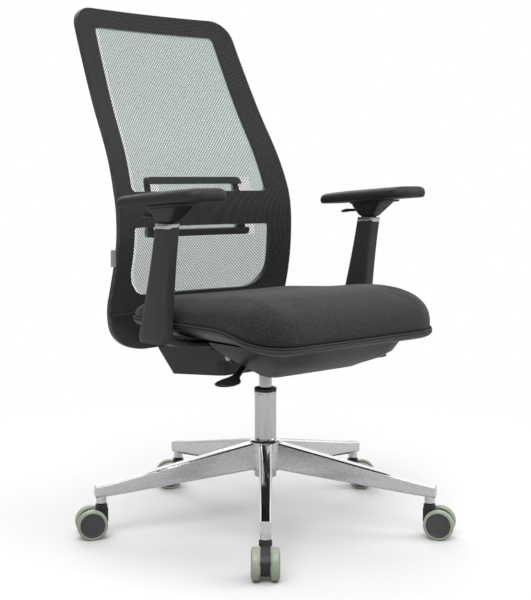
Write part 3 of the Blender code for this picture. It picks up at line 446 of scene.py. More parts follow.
FINISHES: tuple[Finish, ...] = (
    MouldedFinish("black_moulding", (0.017, 0.017, 0.018), 0.46, edge_highlight=0.5),
    MouldedFinish("dark_grey_moulding", (0.030, 0.030, 0.032), 0.44, grain=Grain.COARSE, edge_highlight=0.6),
    MouldedFinish("post_moulding", (0.030, 0.029, 0.031), 0.42, grain=Grain.COARSE, edge_highlight=0.5),
    MouldedFinish("pad_skin", (0.013, 0.0125, 0.0145), 0.56, grain=Grain.SMOOTH, edge_highlight=0.25),
    MouldedFinish("tyre_rubber", (0.33, 0.375, 0.285), 0.34, grain=Grain.SMOOTH, edge_highlight=0.04),
    MouldedFinish("wheel_disc", (0.055, 0.055, 0.058), 0.55),
    MouldedFinish("dark_powder_coat", (0.045, 0.045, 0.048), 0.50, metallic=0.3, grain=Grain.COARSE),
    MetalFinish("mirror_chrome", (0.62, 0.62, 0.63), 0.07, smudge=0.03, depth=0.0000006),
    MetalFinish("satin_chrome", (0.62, 0.62, 0.63), 0.16, smudge=0.03, depth=0.0000006),
    MetalFinish("polished_cast", (0.78, 0.78, 0.79), 0.07, smudge=0.01, stretch=(60.0, 60.0, 400.0),
                satin=0.20, depth=0.0000008),
    MetalFinish("zinc_steel", (0.55, 0.55, 0.57), 0.28, smudge=0.10),
    FabricFinish("charcoal_melange", (0.007, 0.0065, 0.008), 0.92, sheen=0.14,
                 fleck=(0.072, 0.066, 0.079), threads=700.0),
    FabricFinish("welt_cloth", (0.020, 0.019, 0.022), 0.92, sheen=0.2, fleck=(0.06, 0.06, 0.065)),
    KnitFinish("frame_knit", (0.045, 0.045, 0.047), 0.80, sheen=0.15, gap=(0.006, 0.006, 0.006)),
    KnitFinish("net_yarn", (0.016, 0.018, 0.017), 0.75, sheen=0.1, gap=(0.008, 0.009, 0.009),
               loops=900.0, depth=0.0001),
    KnitFinish("pale_inner_knit", (0.55, 0.86, 0.70), 0.85, gap=(0.48, 0.80, 0.63), loops=700.0,
               depth=0.0001, alpha=0.36),
    KnitFinish("woven_tab", (0.40, 0.38, 0.37), 0.80, gap=(0.26, 0.25, 0.24), loops=1400.0,
               depth=0.0001),
    PlyFinish("moulded_ply", (0.42, 0.30, 0.18), 0.70),
)


# --- Shaping --------------------------------------------------------------------------------------


def ease(value: float) -> float:
    """Go smoothly from 0 to 1 as value does."""
    value = min(1.0, max(0.0, value))
    return value * value * (3.0 - 2.0 * value)


def between(low: float, high: float, share: float) -> float:
    """Give the number at a share of the way from low to high."""
    return low + (high - low) * share


def follow(marks: Sequence[Flat], place: float) -> float:
    """Give the value at a place on the straight lines between marks of place and value."""
    index = max(0, min(len(marks) - 2, sum(1 for mark in marks if mark[0] <= place) - 1))
    (low, start), (high, end) = marks[index], marks[index + 1]
    return between(start, end, min(1.0, max(0.0, (place - low) / (high - low))))


def loft(rings: Sequence[Sequence[Point]], caps: bool = True) -> Mesh:
    """Extrude the first ring's edge to each next ring.

    Args:
        rings: rings of equally many points.
        caps: whether the two ends are closed.

    Returns:
        The bmesh.
    """
    bm = bmesh.new()
    verts = [bm.verts.new(point) for point in rings[0]]
    edges = [bm.edges.new((verts[index - 1], verts[index])) for index in range(len(verts))]
    first = list(verts)
    for ring in rings[1:]:
        grown = bmesh.ops.extrude_edge_only(bm, edges=edges)["geom"]
        fresh = {item for item in grown if isinstance(item, bmesh.types.BMVert)}
        edges = [item for item in grown if isinstance(item, bmesh.types.BMEdge)
                 and item.verts[0] in fresh and item.verts[1] in fresh]
        for index, (vert, point) in enumerate(zip(list(verts), ring)):
            verts[index] = next(edge.other_vert(vert) for edge in vert.link_edges
                                if edge.other_vert(vert) in fresh)
            verts[index].co = point
    if caps:
        bm.faces.new(first)
        bm.faces.new(verts)
    return bm


def turned(profile: Sequence[Flat], steps: int = 64, ring: bool = False) -> Mesh:
    """Spin a profile of (radius, height) about Z.

    Args:
        profile: the half section.
        steps: how many facets it gets.
        ring: whether the section closes on itself.

    Returns:
        The bmesh.
    """
    bm = bmesh.new()
    verts = [bm.verts.new((radius, 0.0, height)) for radius, height in profile]
    edges = [bm.edges.new(pair) for pair in zip(verts, verts[1:])]
    if ring:
        edges.append(bm.edges.new((verts[-1], verts[0])))
    bmesh.ops.spin(bm, geom=verts + edges, cent=(0.0, 0.0, 0.0), axis=(0.0, 0.0, 1.0),
                   angle=2.0 * math.pi, steps=steps, use_merge=True)
    bmesh.ops.remove_doubles(bm, verts=bm.verts, dist=1e-6)
    return bm


def fillet(points: Sequence[Flat], radius: float, steps: int = 4,
           closed: bool = False) -> list[Flat]:
    """Round the corners of a line of points.

    Args:
        points: the line.
        radius: how far from a corner its rounding starts.
        steps: points in each rounding.
        closed: whether the last point joins the first.

    Returns:
        The rounded line.
    """
    result = [] if closed else [points[0]]
    count = len(points)
    for index in range(0 if closed else 1, count if closed else count - 1):
        corner = Vector(points[index])
        before = Vector(points[index - 1]) - corner
        after = Vector(points[(index + 1) % count]) - corner
        reach = min(radius, before.length * 0.45, after.length * 0.45)
        start = corner + before.normalized() * reach
        end = corner + after.normalized() * reach
        for step in range(steps + 1):
            share = step / steps
            place = start.lerp(corner, share).lerp(corner.lerp(end, share), share)
            result.append((place.x, place.y))
    if not closed:
        result.append(points[-1])
    return result


def oval(width: float, depth: float, power: float = 5.0, count: int = 48) -> list[Flat]:
    """Give points round an oval that is squarer than an ellipse.

    Args:
        width: its size in x.
        depth: its size in y.
        power: how square it is.
        count: how many points it has.

    Returns:
        The points.
    """
    points = []
    for step in range(count):
        angle = 2.0 * math.pi * (step + 0.5) / count
        cosine, sine = math.cos(angle), math.sin(angle)
        points.append((math.copysign(abs(cosine) ** (2.0 / power), cosine) * width / 2.0,
                       math.copysign(abs(sine) ** (2.0 / power), sine) * depth / 2.0))
    return points


def rounded_rectangle(half: float, low: float, high: float, radius: float, steps: int,
                      along: int = 1) -> list[Flat]:
    """Give points round a rectangle with arcs at its corners, from the right end of its front.

    Args:
        half: half its width.
        low: its front edge.
        high: its rear edge.
        radius: of its corners.
        steps: points in each corner.
        along: stretches that each side is divided into.

    Returns:
        The points.
    """
    corners = ((half - radius, low + radius, -90.0), (half - radius, high - radius, 0.0),
               (radius - half, high - radius, 90.0), (radius - half, low + radius, 180.0))
    arcs = []
    for x, y, start in corners:
        arcs.append([(x + radius * math.cos(math.radians(start + 90.0 * step / steps)),
                      y + radius * math.sin(math.radians(start + 90.0 * step / steps)))
                     for step in range(steps + 1)])
    points = []
    for index, arc in enumerate(arcs):
        points.extend(arc)
        start, end = arc[-1], arcs[(index + 1) % 4][0]
        for step in range(1, along):
            share = step / along
            points.append((between(start[0], end[0], share), between(start[1], end[1], share)))
    return points


def round_edges(bm: Mesh, width: float, segments: int = 2, sharper: float = SHARP) -> None:
    """Bevel the edges that are sharper than an angle.

    Args:
        bm: the mesh.
        width: how wide the rounding is.
        segments: its facets.
        sharper: the angle, in degrees.
    """
    limit = math.radians(sharper)
    edges = [edge for edge in bm.edges if edge.is_manifold and edge.calc_face_angle(0.0) > limit]
    bmesh.ops.bevel(bm, geom=edges, offset=width, offset_type="OFFSET", segments=segments, profile=0.5,
                    affect="EDGES", clamp_overlap=True, material=-1)


def copied(node: str) -> Mesh:
    """Copy a frame node's mesh, with its flat triangles made whole faces, from the swivel axis.

    Args:
        node: the node's name.

    Returns:
        The bmesh.
    """
    bm = bmesh.new()
    bm.from_mesh(frame["nodes"][node].data)
    bmesh.ops.translate(bm, verts=bm.verts, vec=-AXIS)
    bmesh.ops.remove_doubles(bm, verts=bm.verts, dist=2e-5)
    bmesh.ops.dissolve_limit(bm, angle_limit=math.radians(1.5), verts=bm.verts, edges=bm.edges)
    return bm


def outward(bm: Mesh) -> None:
    """Turn every face outwards."""
    bm.normal_update()
    bmesh.ops.recalc_face_normals(bm, faces=bm.faces)
    if bm.calc_volume(signed=True) < 0.0:
        bmesh.ops.reverse_faces(bm, faces=bm.faces)


def shown(name: str, data: bpy.types.ID) -> Thing:
    """Put data in the scene as an object at the origin."""
    made = bpy.data.objects.new(name, data)
    bpy.context.scene.collection.objects.link(made)
    return made


def formed(bm: Mesh, name: str, vec: Optional[Vector] = None) -> Thing:
    """Put a bmesh in the scene as an object, moved by a vector, and free it.

    Args:
        bm: the mesh.
        name: the object's name.
        vec: how far its points are moved.

    Returns:
        The object.
    """
    if vec is not None:
        bmesh.ops.translate(bm, verts=bm.verts, vec=vec)
    mesh = bpy.data.meshes.new(name)
    bm.to_mesh(mesh)
    bm.free()
    return shown(name, mesh)


def smoothed(made: Thing, levels: int) -> None:
    """Add a subdivision surface."""
    modifier = made.modifiers.new("smooth", "SUBSURF")
    modifier.levels = modifier.render_levels = levels


def applied(made: Thing) -> None:
    """Make a piece's modifiers part of its mesh."""
    graph = bpy.context.evaluated_depsgraph_get()
    mesh = bpy.data.meshes.new_from_object(made.evaluated_get(graph), depsgraph=graph)
    made.modifiers.clear()
    old = made.data
    made.data = mesh
    mesh.name = made.name
    bpy.data.meshes.remove(old)


def cut(made: Thing, bm: Mesh, operation: str = "DIFFERENCE") -> None:
    """Cut a shape from a piece, or join it on, at once.

    Args:
        made: the piece.
        bm: the shape, from the swivel axis; it is freed.
        operation: the Boolean's operation.
    """
    outward(bm)
    tool = formed(bm, "tool", AXIS)
    modifier = made.modifiers.new("cut", "BOOLEAN")
    modifier.operation = operation
    modifier.solver = "EXACT"
    modifier.object = tool
    applied(made)
    bpy.data.meshes.remove(tool.data)


def crisp(made: Thing, sharp: float) -> None:
    """Shade a piece smooth up to an angle in degrees."""
    made.data.shade_smooth()
    made.data.set_sharp_from_angle(angle=math.radians(sharp))


def swept(path: Sequence[Point], radius: float, closed: bool, sides: int = 10) -> Mesh:
    """Sweep a circle along a path.

    Args:
        path: the points it follows.
        radius: the circle's radius.
        closed: whether the path is a loop.
        sides: the circle's facets.

    Returns:
        The bmesh.
    """
    angles = [2.0 * math.pi * step / sides for step in range(sides)]
    circle = [Vector((radius * math.cos(angle), radius * math.sin(angle), 0.0)) for angle in angles]
    line = [Vector(point) for point in path]
    rings = []
    count = len(line)
    for index, place in enumerate(line):
        ahead = line[(index + 1) % count] if closed or index < count - 1 else place
        behind = line[index - 1] if closed or index > 0 else place
        turn = (ahead - behind).to_track_quat("Z", "Y").to_matrix()
        rings.append([tuple(place + turn @ spoke) for spoke in circle])
    if closed:
        rings.append(rings[0])
    bm = loft(rings, caps=not closed)
    bmesh.ops.remove_doubles(bm, verts=bm.verts, dist=1e-6)
    return bm


# --- The sub-assemblies ---------------------------------------------------------------------------
@dataclass
class Assembly:
    """A group of pieces; it keeps what it has built."""

    palette: dict[str, Material]
    made: list[Thing] = field(default_factory=list)

    def piece(self, bm: Mesh, name: str, finish: str, body: str, nodes: Iterable[str], slot: str,
              sharp: float = 38.0, closed: bool = True) -> Thing:
        """Turn a bmesh into a finished piece that moves with a body, and keep it.

        Args:
            bm: the mesh, from the swivel axis; it is freed.
            name: the piece's name.
            finish: its finish.
            body: the body it moves with.
            nodes: the frame nodes that it stands for.
            slot: the record's material slot; not used.
            sharp: edges sharper than this many degrees stay crisp.
            closed: whether its faces are turned outwards.

        Returns:
            The object.
        """
        if closed:
            outward(bm)
        made = formed(bm, name, AXIS)
        crisp(made, sharp)
        made.data.materials.append(self.palette[finish])
        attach(made, body)
        if nodes:
            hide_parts(*nodes)
        self.made.append(made)
        return made

    def paint(self, finish: str, *nodes: str) -> None:
        """Give frame nodes that stay in view, or inside, their finish."""
        for node in nodes:
            target = frame["nodes"][node]
            if not target.material_slots:
                target.data.materials.append(self.palette[finish])
            for slot in target.material_slots:
                slot.link = "OBJECT"
                slot.material = self.palette[finish]

    def refine(self, node: str, finish: str, body: str, slot: str, width: float, segments: int) -> None:
        """Stand a copy with rounded edges in for a hard frame node.

        Args:
            node: the frame node.
            finish: the finish's name.
            body: the body it moves with.
            slot: the record's material slot.
            width: how wide its edges are rounded.
            segments: facets in the rounding.
        """
        made = self.piece(copied(node), f"{node}_look", finish, body, (node,), slot)
        edge = made.modifiers.new("rounded", "BEVEL")
        edge.width = width
        edge.segments = segments
        edge.limit_method = "ANGLE"
        edge.angle_limit = math.radians(SHARP)
        edge.harden_normals = True

    def build(self) -> None:
        """Build the pieces."""
        raise NotImplementedError

    def dress(self) -> None:
        """Give the frame nodes that stay their finishes."""


@dataclass
class StarBase(Assembly):
    """Five-legged polished base with its chrome column."""

    tube_radius: float = 0.0220
    tube_wall: float = 0.0025
    tube_low: float = 0.0970
    tube_top: float = 0.2740
    bush_top: float = 0.2820
    bush_flange: float = 0.0230
    rod_radius: float = 0.0130
    rod_low: float = 0.1250
    rod_top: float = 0.3500

    def build(self) -> None:
        """Build the base, the column's tube, its black bush and the gas cylinder."""
        self.refine("star_base", "polished_cast", "base", "polished_aluminium", 0.0009, 2)
        outer, inner = self.tube_radius, self.tube_radius - self.tube_wall
        section = fillet(((outer, self.tube_low), (outer, self.tube_top - 0.0065),
                          (outer + 0.0012, self.tube_top - 0.0045), (outer + 0.0012, self.tube_top),
                          (inner, self.tube_top), (inner, self.tube_low)), 0.0009, 3, closed=True)
        self.piece(turned(section, 72, ring=True), "column_tube_look", "mirror_chrome", "base",
                   ("column_tube",), "chrome")
        bore = self.rod_radius + 0.0004
        low = self.tube_top + 0.0003
        ring = fillet(((bore, low), (self.bush_flange, low), (self.bush_flange, self.bush_top - 0.002),
                       (self.rod_radius + 0.005, self.bush_top), (bore, self.bush_top)),
                      0.001, 3, closed=True)
        self.piece(turned(ring, 72, ring=True), "guide_bush_look", "black_moulding", "base",
                   ("guide_bush",), "black_plastic")
        rod = fillet(((0.0, self.rod_low), (self.rod_radius, self.rod_low),
                      (self.rod_radius, self.rod_top), (0.0, self.rod_top)), 0.001, 3)
        self.piece(turned(rod, 64), "gas_cylinder_look", "mirror_chrome", "upper", ("gas_cylinder",),
                   "chrome")

    def dress(self) -> None:
        """Give the column's inner frame nodes their finish."""
        self.paint("zinc_steel", "thrust_bearing", "piston_rod", "retaining_clip", "valve_button")


@dataclass
class Casters(Assembly):
    """Twin-wheel casters under the leg ends."""

    count: int = 5
    radius: float = 0.030
    inner: float = 0.0100
    outer: float = 0.0262
    disc_radius: float = 0.0238
    hub_radius: float = 0.0085

    def tyre(self) -> Mesh:
        """Give the soft tread's ring, about Z, with its outer side up."""
        middle, reach, shoulder = (self.inner + self.outer) / 2.0, self.radius, self.outer - 0.0012
        section = fillet(((self.disc_radius, self.inner), (reach - 0.0022, self.inner),
                          (reach, middle - 0.0045), (reach, middle + 0.0045),
                          (reach - 0.0026, shoulder), (self.disc_radius, shoulder)),
                         0.0030, 4, closed=True)
        return turned(section, 64, ring=True)

    def disc(self) -> Mesh:
        """Give the wheel's dished centre, about Z, with its outer side up."""
        face, back, reach, hub = (self.outer - 0.0006, self.inner + 0.0015, self.disc_radius,
                                  self.hub_radius)
        section = fillet(((0.0, back), (reach - 0.0004, back), (reach - 0.0004, face),
                          (reach - 0.0030, face), (reach - 0.0036, face - 0.0010),
                          (hub + 0.002, face - 0.0008), (hub, face - 0.0006), (0.0, face - 0.0006)),
                         0.0005, 3)
        return turned(section, 64)

    def wheel(self, number: int, side: str) -> None:
        """Build one wheel's tyre and disc where its joint is."""
        name, node = f"caster_{number}_{side}", f"caster_{number}_wheel_{side}"
        joint = next(item for item in frame["joints"]
                     if item["name"] == f"caster_{number}_roll_{side}")
        low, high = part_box(node)
        axle_low, axle_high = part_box(f"caster_{number}_axle")
        middle = (axle_low + axle_high) / 2.0
        turn = ((low + high) / 2.0 - middle).normalized().to_track_quat("Z", "Y").to_matrix()
        centre = Vector((middle.x, middle.y, joint["pos_m"][2])) - AXIS
        for bm, part, finish, slot in ((self.tyre(), "tyre", "tyre_rubber", "tyre"),
                                       (self.disc(), "disc", "wheel_disc", "black_plastic")):
            bmesh.ops.transform(bm, matrix=Matrix.Translation(centre) @ turn.to_4x4(), verts=bm.verts)
            self.piece(bm, f"{name}_{part}", finish, name, (node,), slot)

    def build(self) -> None:
        """Build every caster's wheels and hood."""
        for number in range(1, self.count + 1):
            for side in ("left", "right"):
                self.wheel(number, side)
            self.refine(f"caster_{number}_hood", "black_moulding", f"caster_{number}", "black_plastic",
                        0.0007, 2)

    def dress(self) -> None:
        """Give the axles their finish."""
        self.paint("zinc_steel", *(f"caster_{number}_axle" for number in range(1, self.count + 1)))


@dataclass
class Mechanism(Assembly):
    """Tilt mechanism under the seat, with its two levers."""

    lever_root: float = 0.3390
    lever_across: Flat = (0.52, 0.854)
    # x, y, share of the droop, half width, half thickness
    lever_rows: Rows = (
        (0.0640, -0.0290, 0.00, 0.0060, 0.0050), (0.0665, -0.0295, 0.00, 0.0095, 0.0062),
        (0.0760, -0.0330, 0.00, 0.0100, 0.0064), (0.0900, -0.0410, 0.03, 0.0080, 0.0056),
        (0.1080, -0.0540, 0.10, 0.0068, 0.0050), (0.1280, -0.0700, 0.25, 0.0062, 0.0046),
        (0.1460, -0.0840, 0.42, 0.0064, 0.0044), (0.1600, -0.0940, 0.55, 0.0080, 0.0044),
        (0.1720, -0.1015, 0.68, 0.0130, 0.0044), (0.1840, -0.1080, 0.80, 0.0200, 0.0042),
        (0.1960, -0.1140, 0.90, 0.0225, 0.0038), (0.2090, -0.1200, 0.97, 0.0205, 0.0033),
        (0.2180, -0.1245, 1.00, 0.0140, 0.0027), (0.2225, -0.1270, 1.00, 0.0060, 0.0020))

    def build(self) -> None:
        """Build the housing and the levers."""
        self.refine("mechanism_housing", "dark_grey_moulding", "upper", "dark_painted_steel", 0.0022, 3)
        self.lever("height_lever", -1.0, 0.0130)
        self.lever("tilt_lock_lever", 1.0, 0.0)

    def lever(self, name: str, sign: float, droop: float) -> None:
        """Build a lever: a slim arm from its pin, ending in a broad thumb paddle.

        Args:
            name: the frame node, which is also its body.
            sign: -1 for the right-hand side, 1 for the left.
            droop: how far its end hangs below its root.
        """
        across = Vector((self.lever_across[0], sign * self.lever_across[1], 0.0))
        rings = []
        for x, y, share, half, thick in self.lever_rows:
            place = Vector((sign * x, y, self.lever_root - droop * share))
            rings.append([tuple(place + across * a * half + Vector((0.0, 0.0, b * thick)))
                          for a, b in oval(2.0, 2.0, 2.6, 20)])
        self.piece(loft(rings), f"{name}_look", "black_moulding", name, (name,), "black_plastic",
                   sharp=60.0)

    def dress(self) -> None:
        """Give the pins, the spring and the seat's plate their finishes."""
        self.paint("zinc_steel", "recline_pin", "front_pin", "recline_spring", "height_lever_pin",
                   "tilt_lock_lever_pin")
        self.paint("dark_powder_coat", "seat_plate")


@dataclass
class Seat(Assembly):
    """Upholstered seat in its moulded shell, with the scoop under its front."""

    half: float = 0.2430
    front: float = -0.2780
    rear: float = 0.1750
    corner: float = 0.0800
    seam_side: float = 0.4300
    seam_front: float = 0.4050
    dip_from: float = -0.1200
    floor: float = 0.3900
    wall: float = 0.0030
    crown_marks: tuple[Flat, ...] = (
        (-0.285, 0.4670), (-0.255, 0.4775), (-0.215, 0.4865), (-0.160, 0.4890), (-0.110, 0.4865),
        (-0.020, 0.4760), (0.080, 0.4690), (0.180, 0.4650))
    top: float = 0.4900
    pan_top: float = 0.4120
    voxel: float = 0.0055
    swell: float = 0.0045
    swelling: int = 20
    relaxing: int = 8
    welt: float = 0.0017
    hollow_size: Flat = (0.13, 0.12)
    hollow_depth: float = 0.0035
    # inset, share of the way from under the lip to the floor: outside, then inside
    belly_rows: Rows = ((0.110, 1.0), (0.075, 0.80), (0.045, 0.45), (0.024, 0.06))
    inside_rows: Rows = ((0.0250, 0.06), (0.0460, 0.45), (0.0760, 0.80), (0.110, 1.0))
    # inset, drop below the seam, from the lip's outside over it to its inside
    lip_rows: Rows = (
        (0.0120, 0.0125), (0.0060, 0.0098), (0.0026, 0.0066), (0.0008, 0.0026), (0.0014, 0.0012),
        (0.0034, 0.0012), (0.0042, 0.0022), (0.0060, 0.0050), (0.0130, 0.0092))
    lip_depth: float = 0.0165
    # inset, share of the way from the seam to the crown
    side_rows: Rows = (
        (0.0050, 0.06), (0.0010, 0.20), (0.0010, 0.38), (0.0050, 0.56), (0.0130, 0.715), (0.0260, 0.84),
        (0.0450, 0.93), (0.0700, 0.98), (0.1100, 1.0), (0.1700, 1.0))
    # half width, front, rear, corner radius, height, rise towards the front, where it starts, its run
    cowl_rows: Rows = (
        (0.175, -0.254, -0.030, 0.080, 0.3925, -0.002, -0.16, 0.09),
        (0.168, -0.247, -0.043, 0.074, 0.3800, 0.0, -0.10, 0.11),
        (0.158, -0.238, -0.056, 0.064, 0.3680, 0.0, -0.10, 0.11),
        (0.130, -0.222, -0.090, 0.050, 0.3460, 0.010, -0.12, 0.10),
        (0.104, -0.200, -0.102, 0.045, 0.3290, 0.018, -0.10, 0.11),
        (0.086, -0.182, -0.104, 0.038, 0.3235, 0.018, -0.10, 0.11))
    cowl_wall: float = 0.003

    def seam(self, y: float) -> float:
        """Give the height of the line between cushion and shell at y."""
        return between(self.seam_side, self.seam_front,
                       ease((self.dip_from - y) / (self.dip_from - self.front)))

    def crown(self, y: float) -> float:
        """Give the height of the cushion's top at y."""
        return follow(self.crown_marks, y)

    def ring(self, inset: float, height: Height, steps: int = 10, along: int = 24) -> list[Point]:
        """Give the seat's outline drawn in, at heights by y.

        Args:
            inset: how far it is drawn in.
            height: z at a place y.
            steps: points in each corner.
            along: stretches along each side.

        Returns:
            The ring.
        """
        points = rounded_rectangle(self.half - inset, self.front + inset, self.rear - inset,
                                   max(0.012, self.corner - inset), steps, along)
        return [(x, y, height(y)) for x, y in points]

    def belly(self, share: float, lift: float) -> Height:
        """Give the shell's height by y, a share of the way down to its floor."""
        return lambda y: between(self.seam(y) - self.lip_depth, self.floor, share) + lift

    def over(self, rise: float) -> Height:
        """Give the height by y at a rise over the seam."""
        return lambda y: self.seam(y) + rise

    def risen(self, share: float) -> Height:
        """Give the cushion's height by y, a share of the way up to its crown."""
        return lambda y: between(self.seam(y), self.crown(y), share)

    def shell(self) -> None:
        """Build the moulded shell under the cushion."""
        rows = [*((inset, self.belly(share, 0.0)) for inset, share in self.belly_rows),
                *((inset, self.over(-drop)) for inset, drop in self.lip_rows),
                *((inset, self.belly(share, self.wall)) for inset, share in self.inside_rows)]
        self.piece(loft([self.ring(inset, height) for inset, height in rows]), "seat_shell_look",
                   "dark_grey_moulding", "seat", ("seat_shell",), "shell_plastic", sharp=50.0)

    def cushion(self) -> None:
        """Build the cushion, swell it and smooth it."""
        base = self.pan_top
        rows = [(0.090, lambda y: base + 0.001), (0.036, lambda y: base + 0.001),
                (0.018, lambda y: min(self.seam(y) - 0.006, base + 0.004)), (0.0075, self.over(0.0002)),
                *((inset, self.risen(share)) for inset, share in self.side_rows)]
        bm = loft([self.ring(inset, height, 8, 20) for inset, height in rows])
        bmesh.ops.triangulate(bm, faces=[face for face in bm.faces if len(face.verts) > 4])
        made = self.piece(bm, "seat_cushion_look", "charcoal_melange", "seat", ("seat_cushion",),
                          "seat_fabric", sharp=180.0)
        remesh = made.modifiers.new("remesh", "REMESH")
        remesh.mode = "VOXEL"
        remesh.voxel_size = self.voxel
        remesh.use_smooth_shade = True
        applied(made)
        self.inflate(made)
        self.dish(made)
        smoothed(made, 1)
        applied(made)
        crisp(made, 180.0)

    def inflate(self, made: Thing) -> None:
        """Swell the cushion as cloth under pressure, and hold its lower edge and its travel.

        Args:
            made: the cushion.
        """
        before = [vert.co.copy() for vert in made.data.vertices]
        held = made.vertex_groups.new(name="held")
        held.add([vert.index for vert in made.data.vertices
                  if vert.co.z < self.seam(vert.co.y - AXIS.y) + 0.006], 1.0, "REPLACE")
        cloth = made.modifiers.new("cloth", "CLOTH")
        cloth.settings.use_pressure = True
        cloth.settings.uniform_pressure_force = 4.0
        cloth.settings.vertex_group_mass = "held"
        cloth.settings.effector_weights.gravity = 0.0
        cloth.point_cache.frame_start, cloth.point_cache.frame_end = 1, self.swelling
        for step in range(1, self.swelling + 1):
            bpy.context.scene.frame_set(step)
        applied(made)
        bpy.context.scene.frame_set(1)
        made.vertex_groups.clear()
        for vert, start in zip(made.data.vertices, before):
            move = vert.co - start
            if move.length > self.swell:
                vert.co = start + move * (self.swell / move.length)

    def dish(self, made: Thing) -> None:
        """Settle the cushion's top where it is sat on, cap its height, and smooth it.

        Args:
            made: the cushion.
        """
        bm = bmesh.new()
        bm.from_mesh(made.data)
        for vert in bm.verts:
            x, y = vert.co.x - AXIS.x, vert.co.y - AXIS.y
            share = ease((vert.co.z - 0.455) / 0.03)
            hollow = math.exp(-((x / self.hollow_size[0]) ** 2)
                              - ((y + 0.01) / self.hollow_size[1]) ** 2)
            vert.co.z -= self.hollow_depth * hollow * share
            vert.co.z = min(vert.co.z, self.top + self.hollow_depth)
        for _ in range(self.relaxing):
            bmesh.ops.smooth_vert(bm, verts=bm.verts, factor=0.5, use_axis_x=True, use_axis_y=True,
                                  use_axis_z=True)
        bm.to_mesh(made.data)
        bm.free()

    def welting(self) -> None:
        """Build the tucked welt that lies along the shell's edge."""
        path = self.ring(0.0030, lambda y: self.seam(y) + 0.0012, 12, 24)
        self.piece(swept(path, self.welt, True, 10), "seat_welt", "welt_cloth", "seat", (),
                   "seat_fabric", sharp=180.0)

    def cowl(self) -> None:
        """Build the scoop under the front, open behind the mechanism."""
        bm = bmesh.new()
        lines, edges = [], []
        for half, low, high, radius, height, rise, start, run in self.cowl_rows:
            arc = rounded_rectangle(half, low, high, radius, 8)
            bend = (high + low + radius) / 2.0
            line = [(half, high), (half, bend), *reversed(arc[:9]), *reversed(arc[-9:]), (-half, bend),
                    (-half, high)]
            lines.append([bm.verts.new((x, y, height + rise * ease((start - y) / run)))
                          for x, y in line])
        for line in lines:
            edges.append([bm.edges.new(pair) for pair in zip(line, line[1:])])
        for upper, lower in zip(edges, edges[1:]):
            bmesh.ops.bridge_loops(bm, edges=upper + lower)
        floor = edges[-1] + [bm.edges.new((lines[-1][0], lines[-1][-1]))]
        bmesh.ops.triangle_fill(bm, edges=floor, use_beauty=True)
        bm.normal_update()
        bmesh.ops.recalc_face_normals(bm, faces=bm.faces)
        if sum(face.normal.z * face.calc_area() for face in bm.faces) > 0.0:
            bmesh.ops.reverse_faces(bm, faces=bm.faces)
        bmesh.ops.solidify(bm, geom=bm.faces, thickness=self.cowl_wall)
        self.piece(bm, "seat_cowl_look", "dark_grey_moulding", "seat", ("seat_cowl",), "shell_plastic",
                   sharp=50.0)

    def build(self) -> None:
        """Build the shell, the cushion, its welt and the scoop."""
        self.shell()
        self.cushion()
        self.welting()
        self.cowl()

    def dress(self) -> None:
        """Give the seat's inner board its finish."""
        self.paint("moulded_ply", "seat_pan")


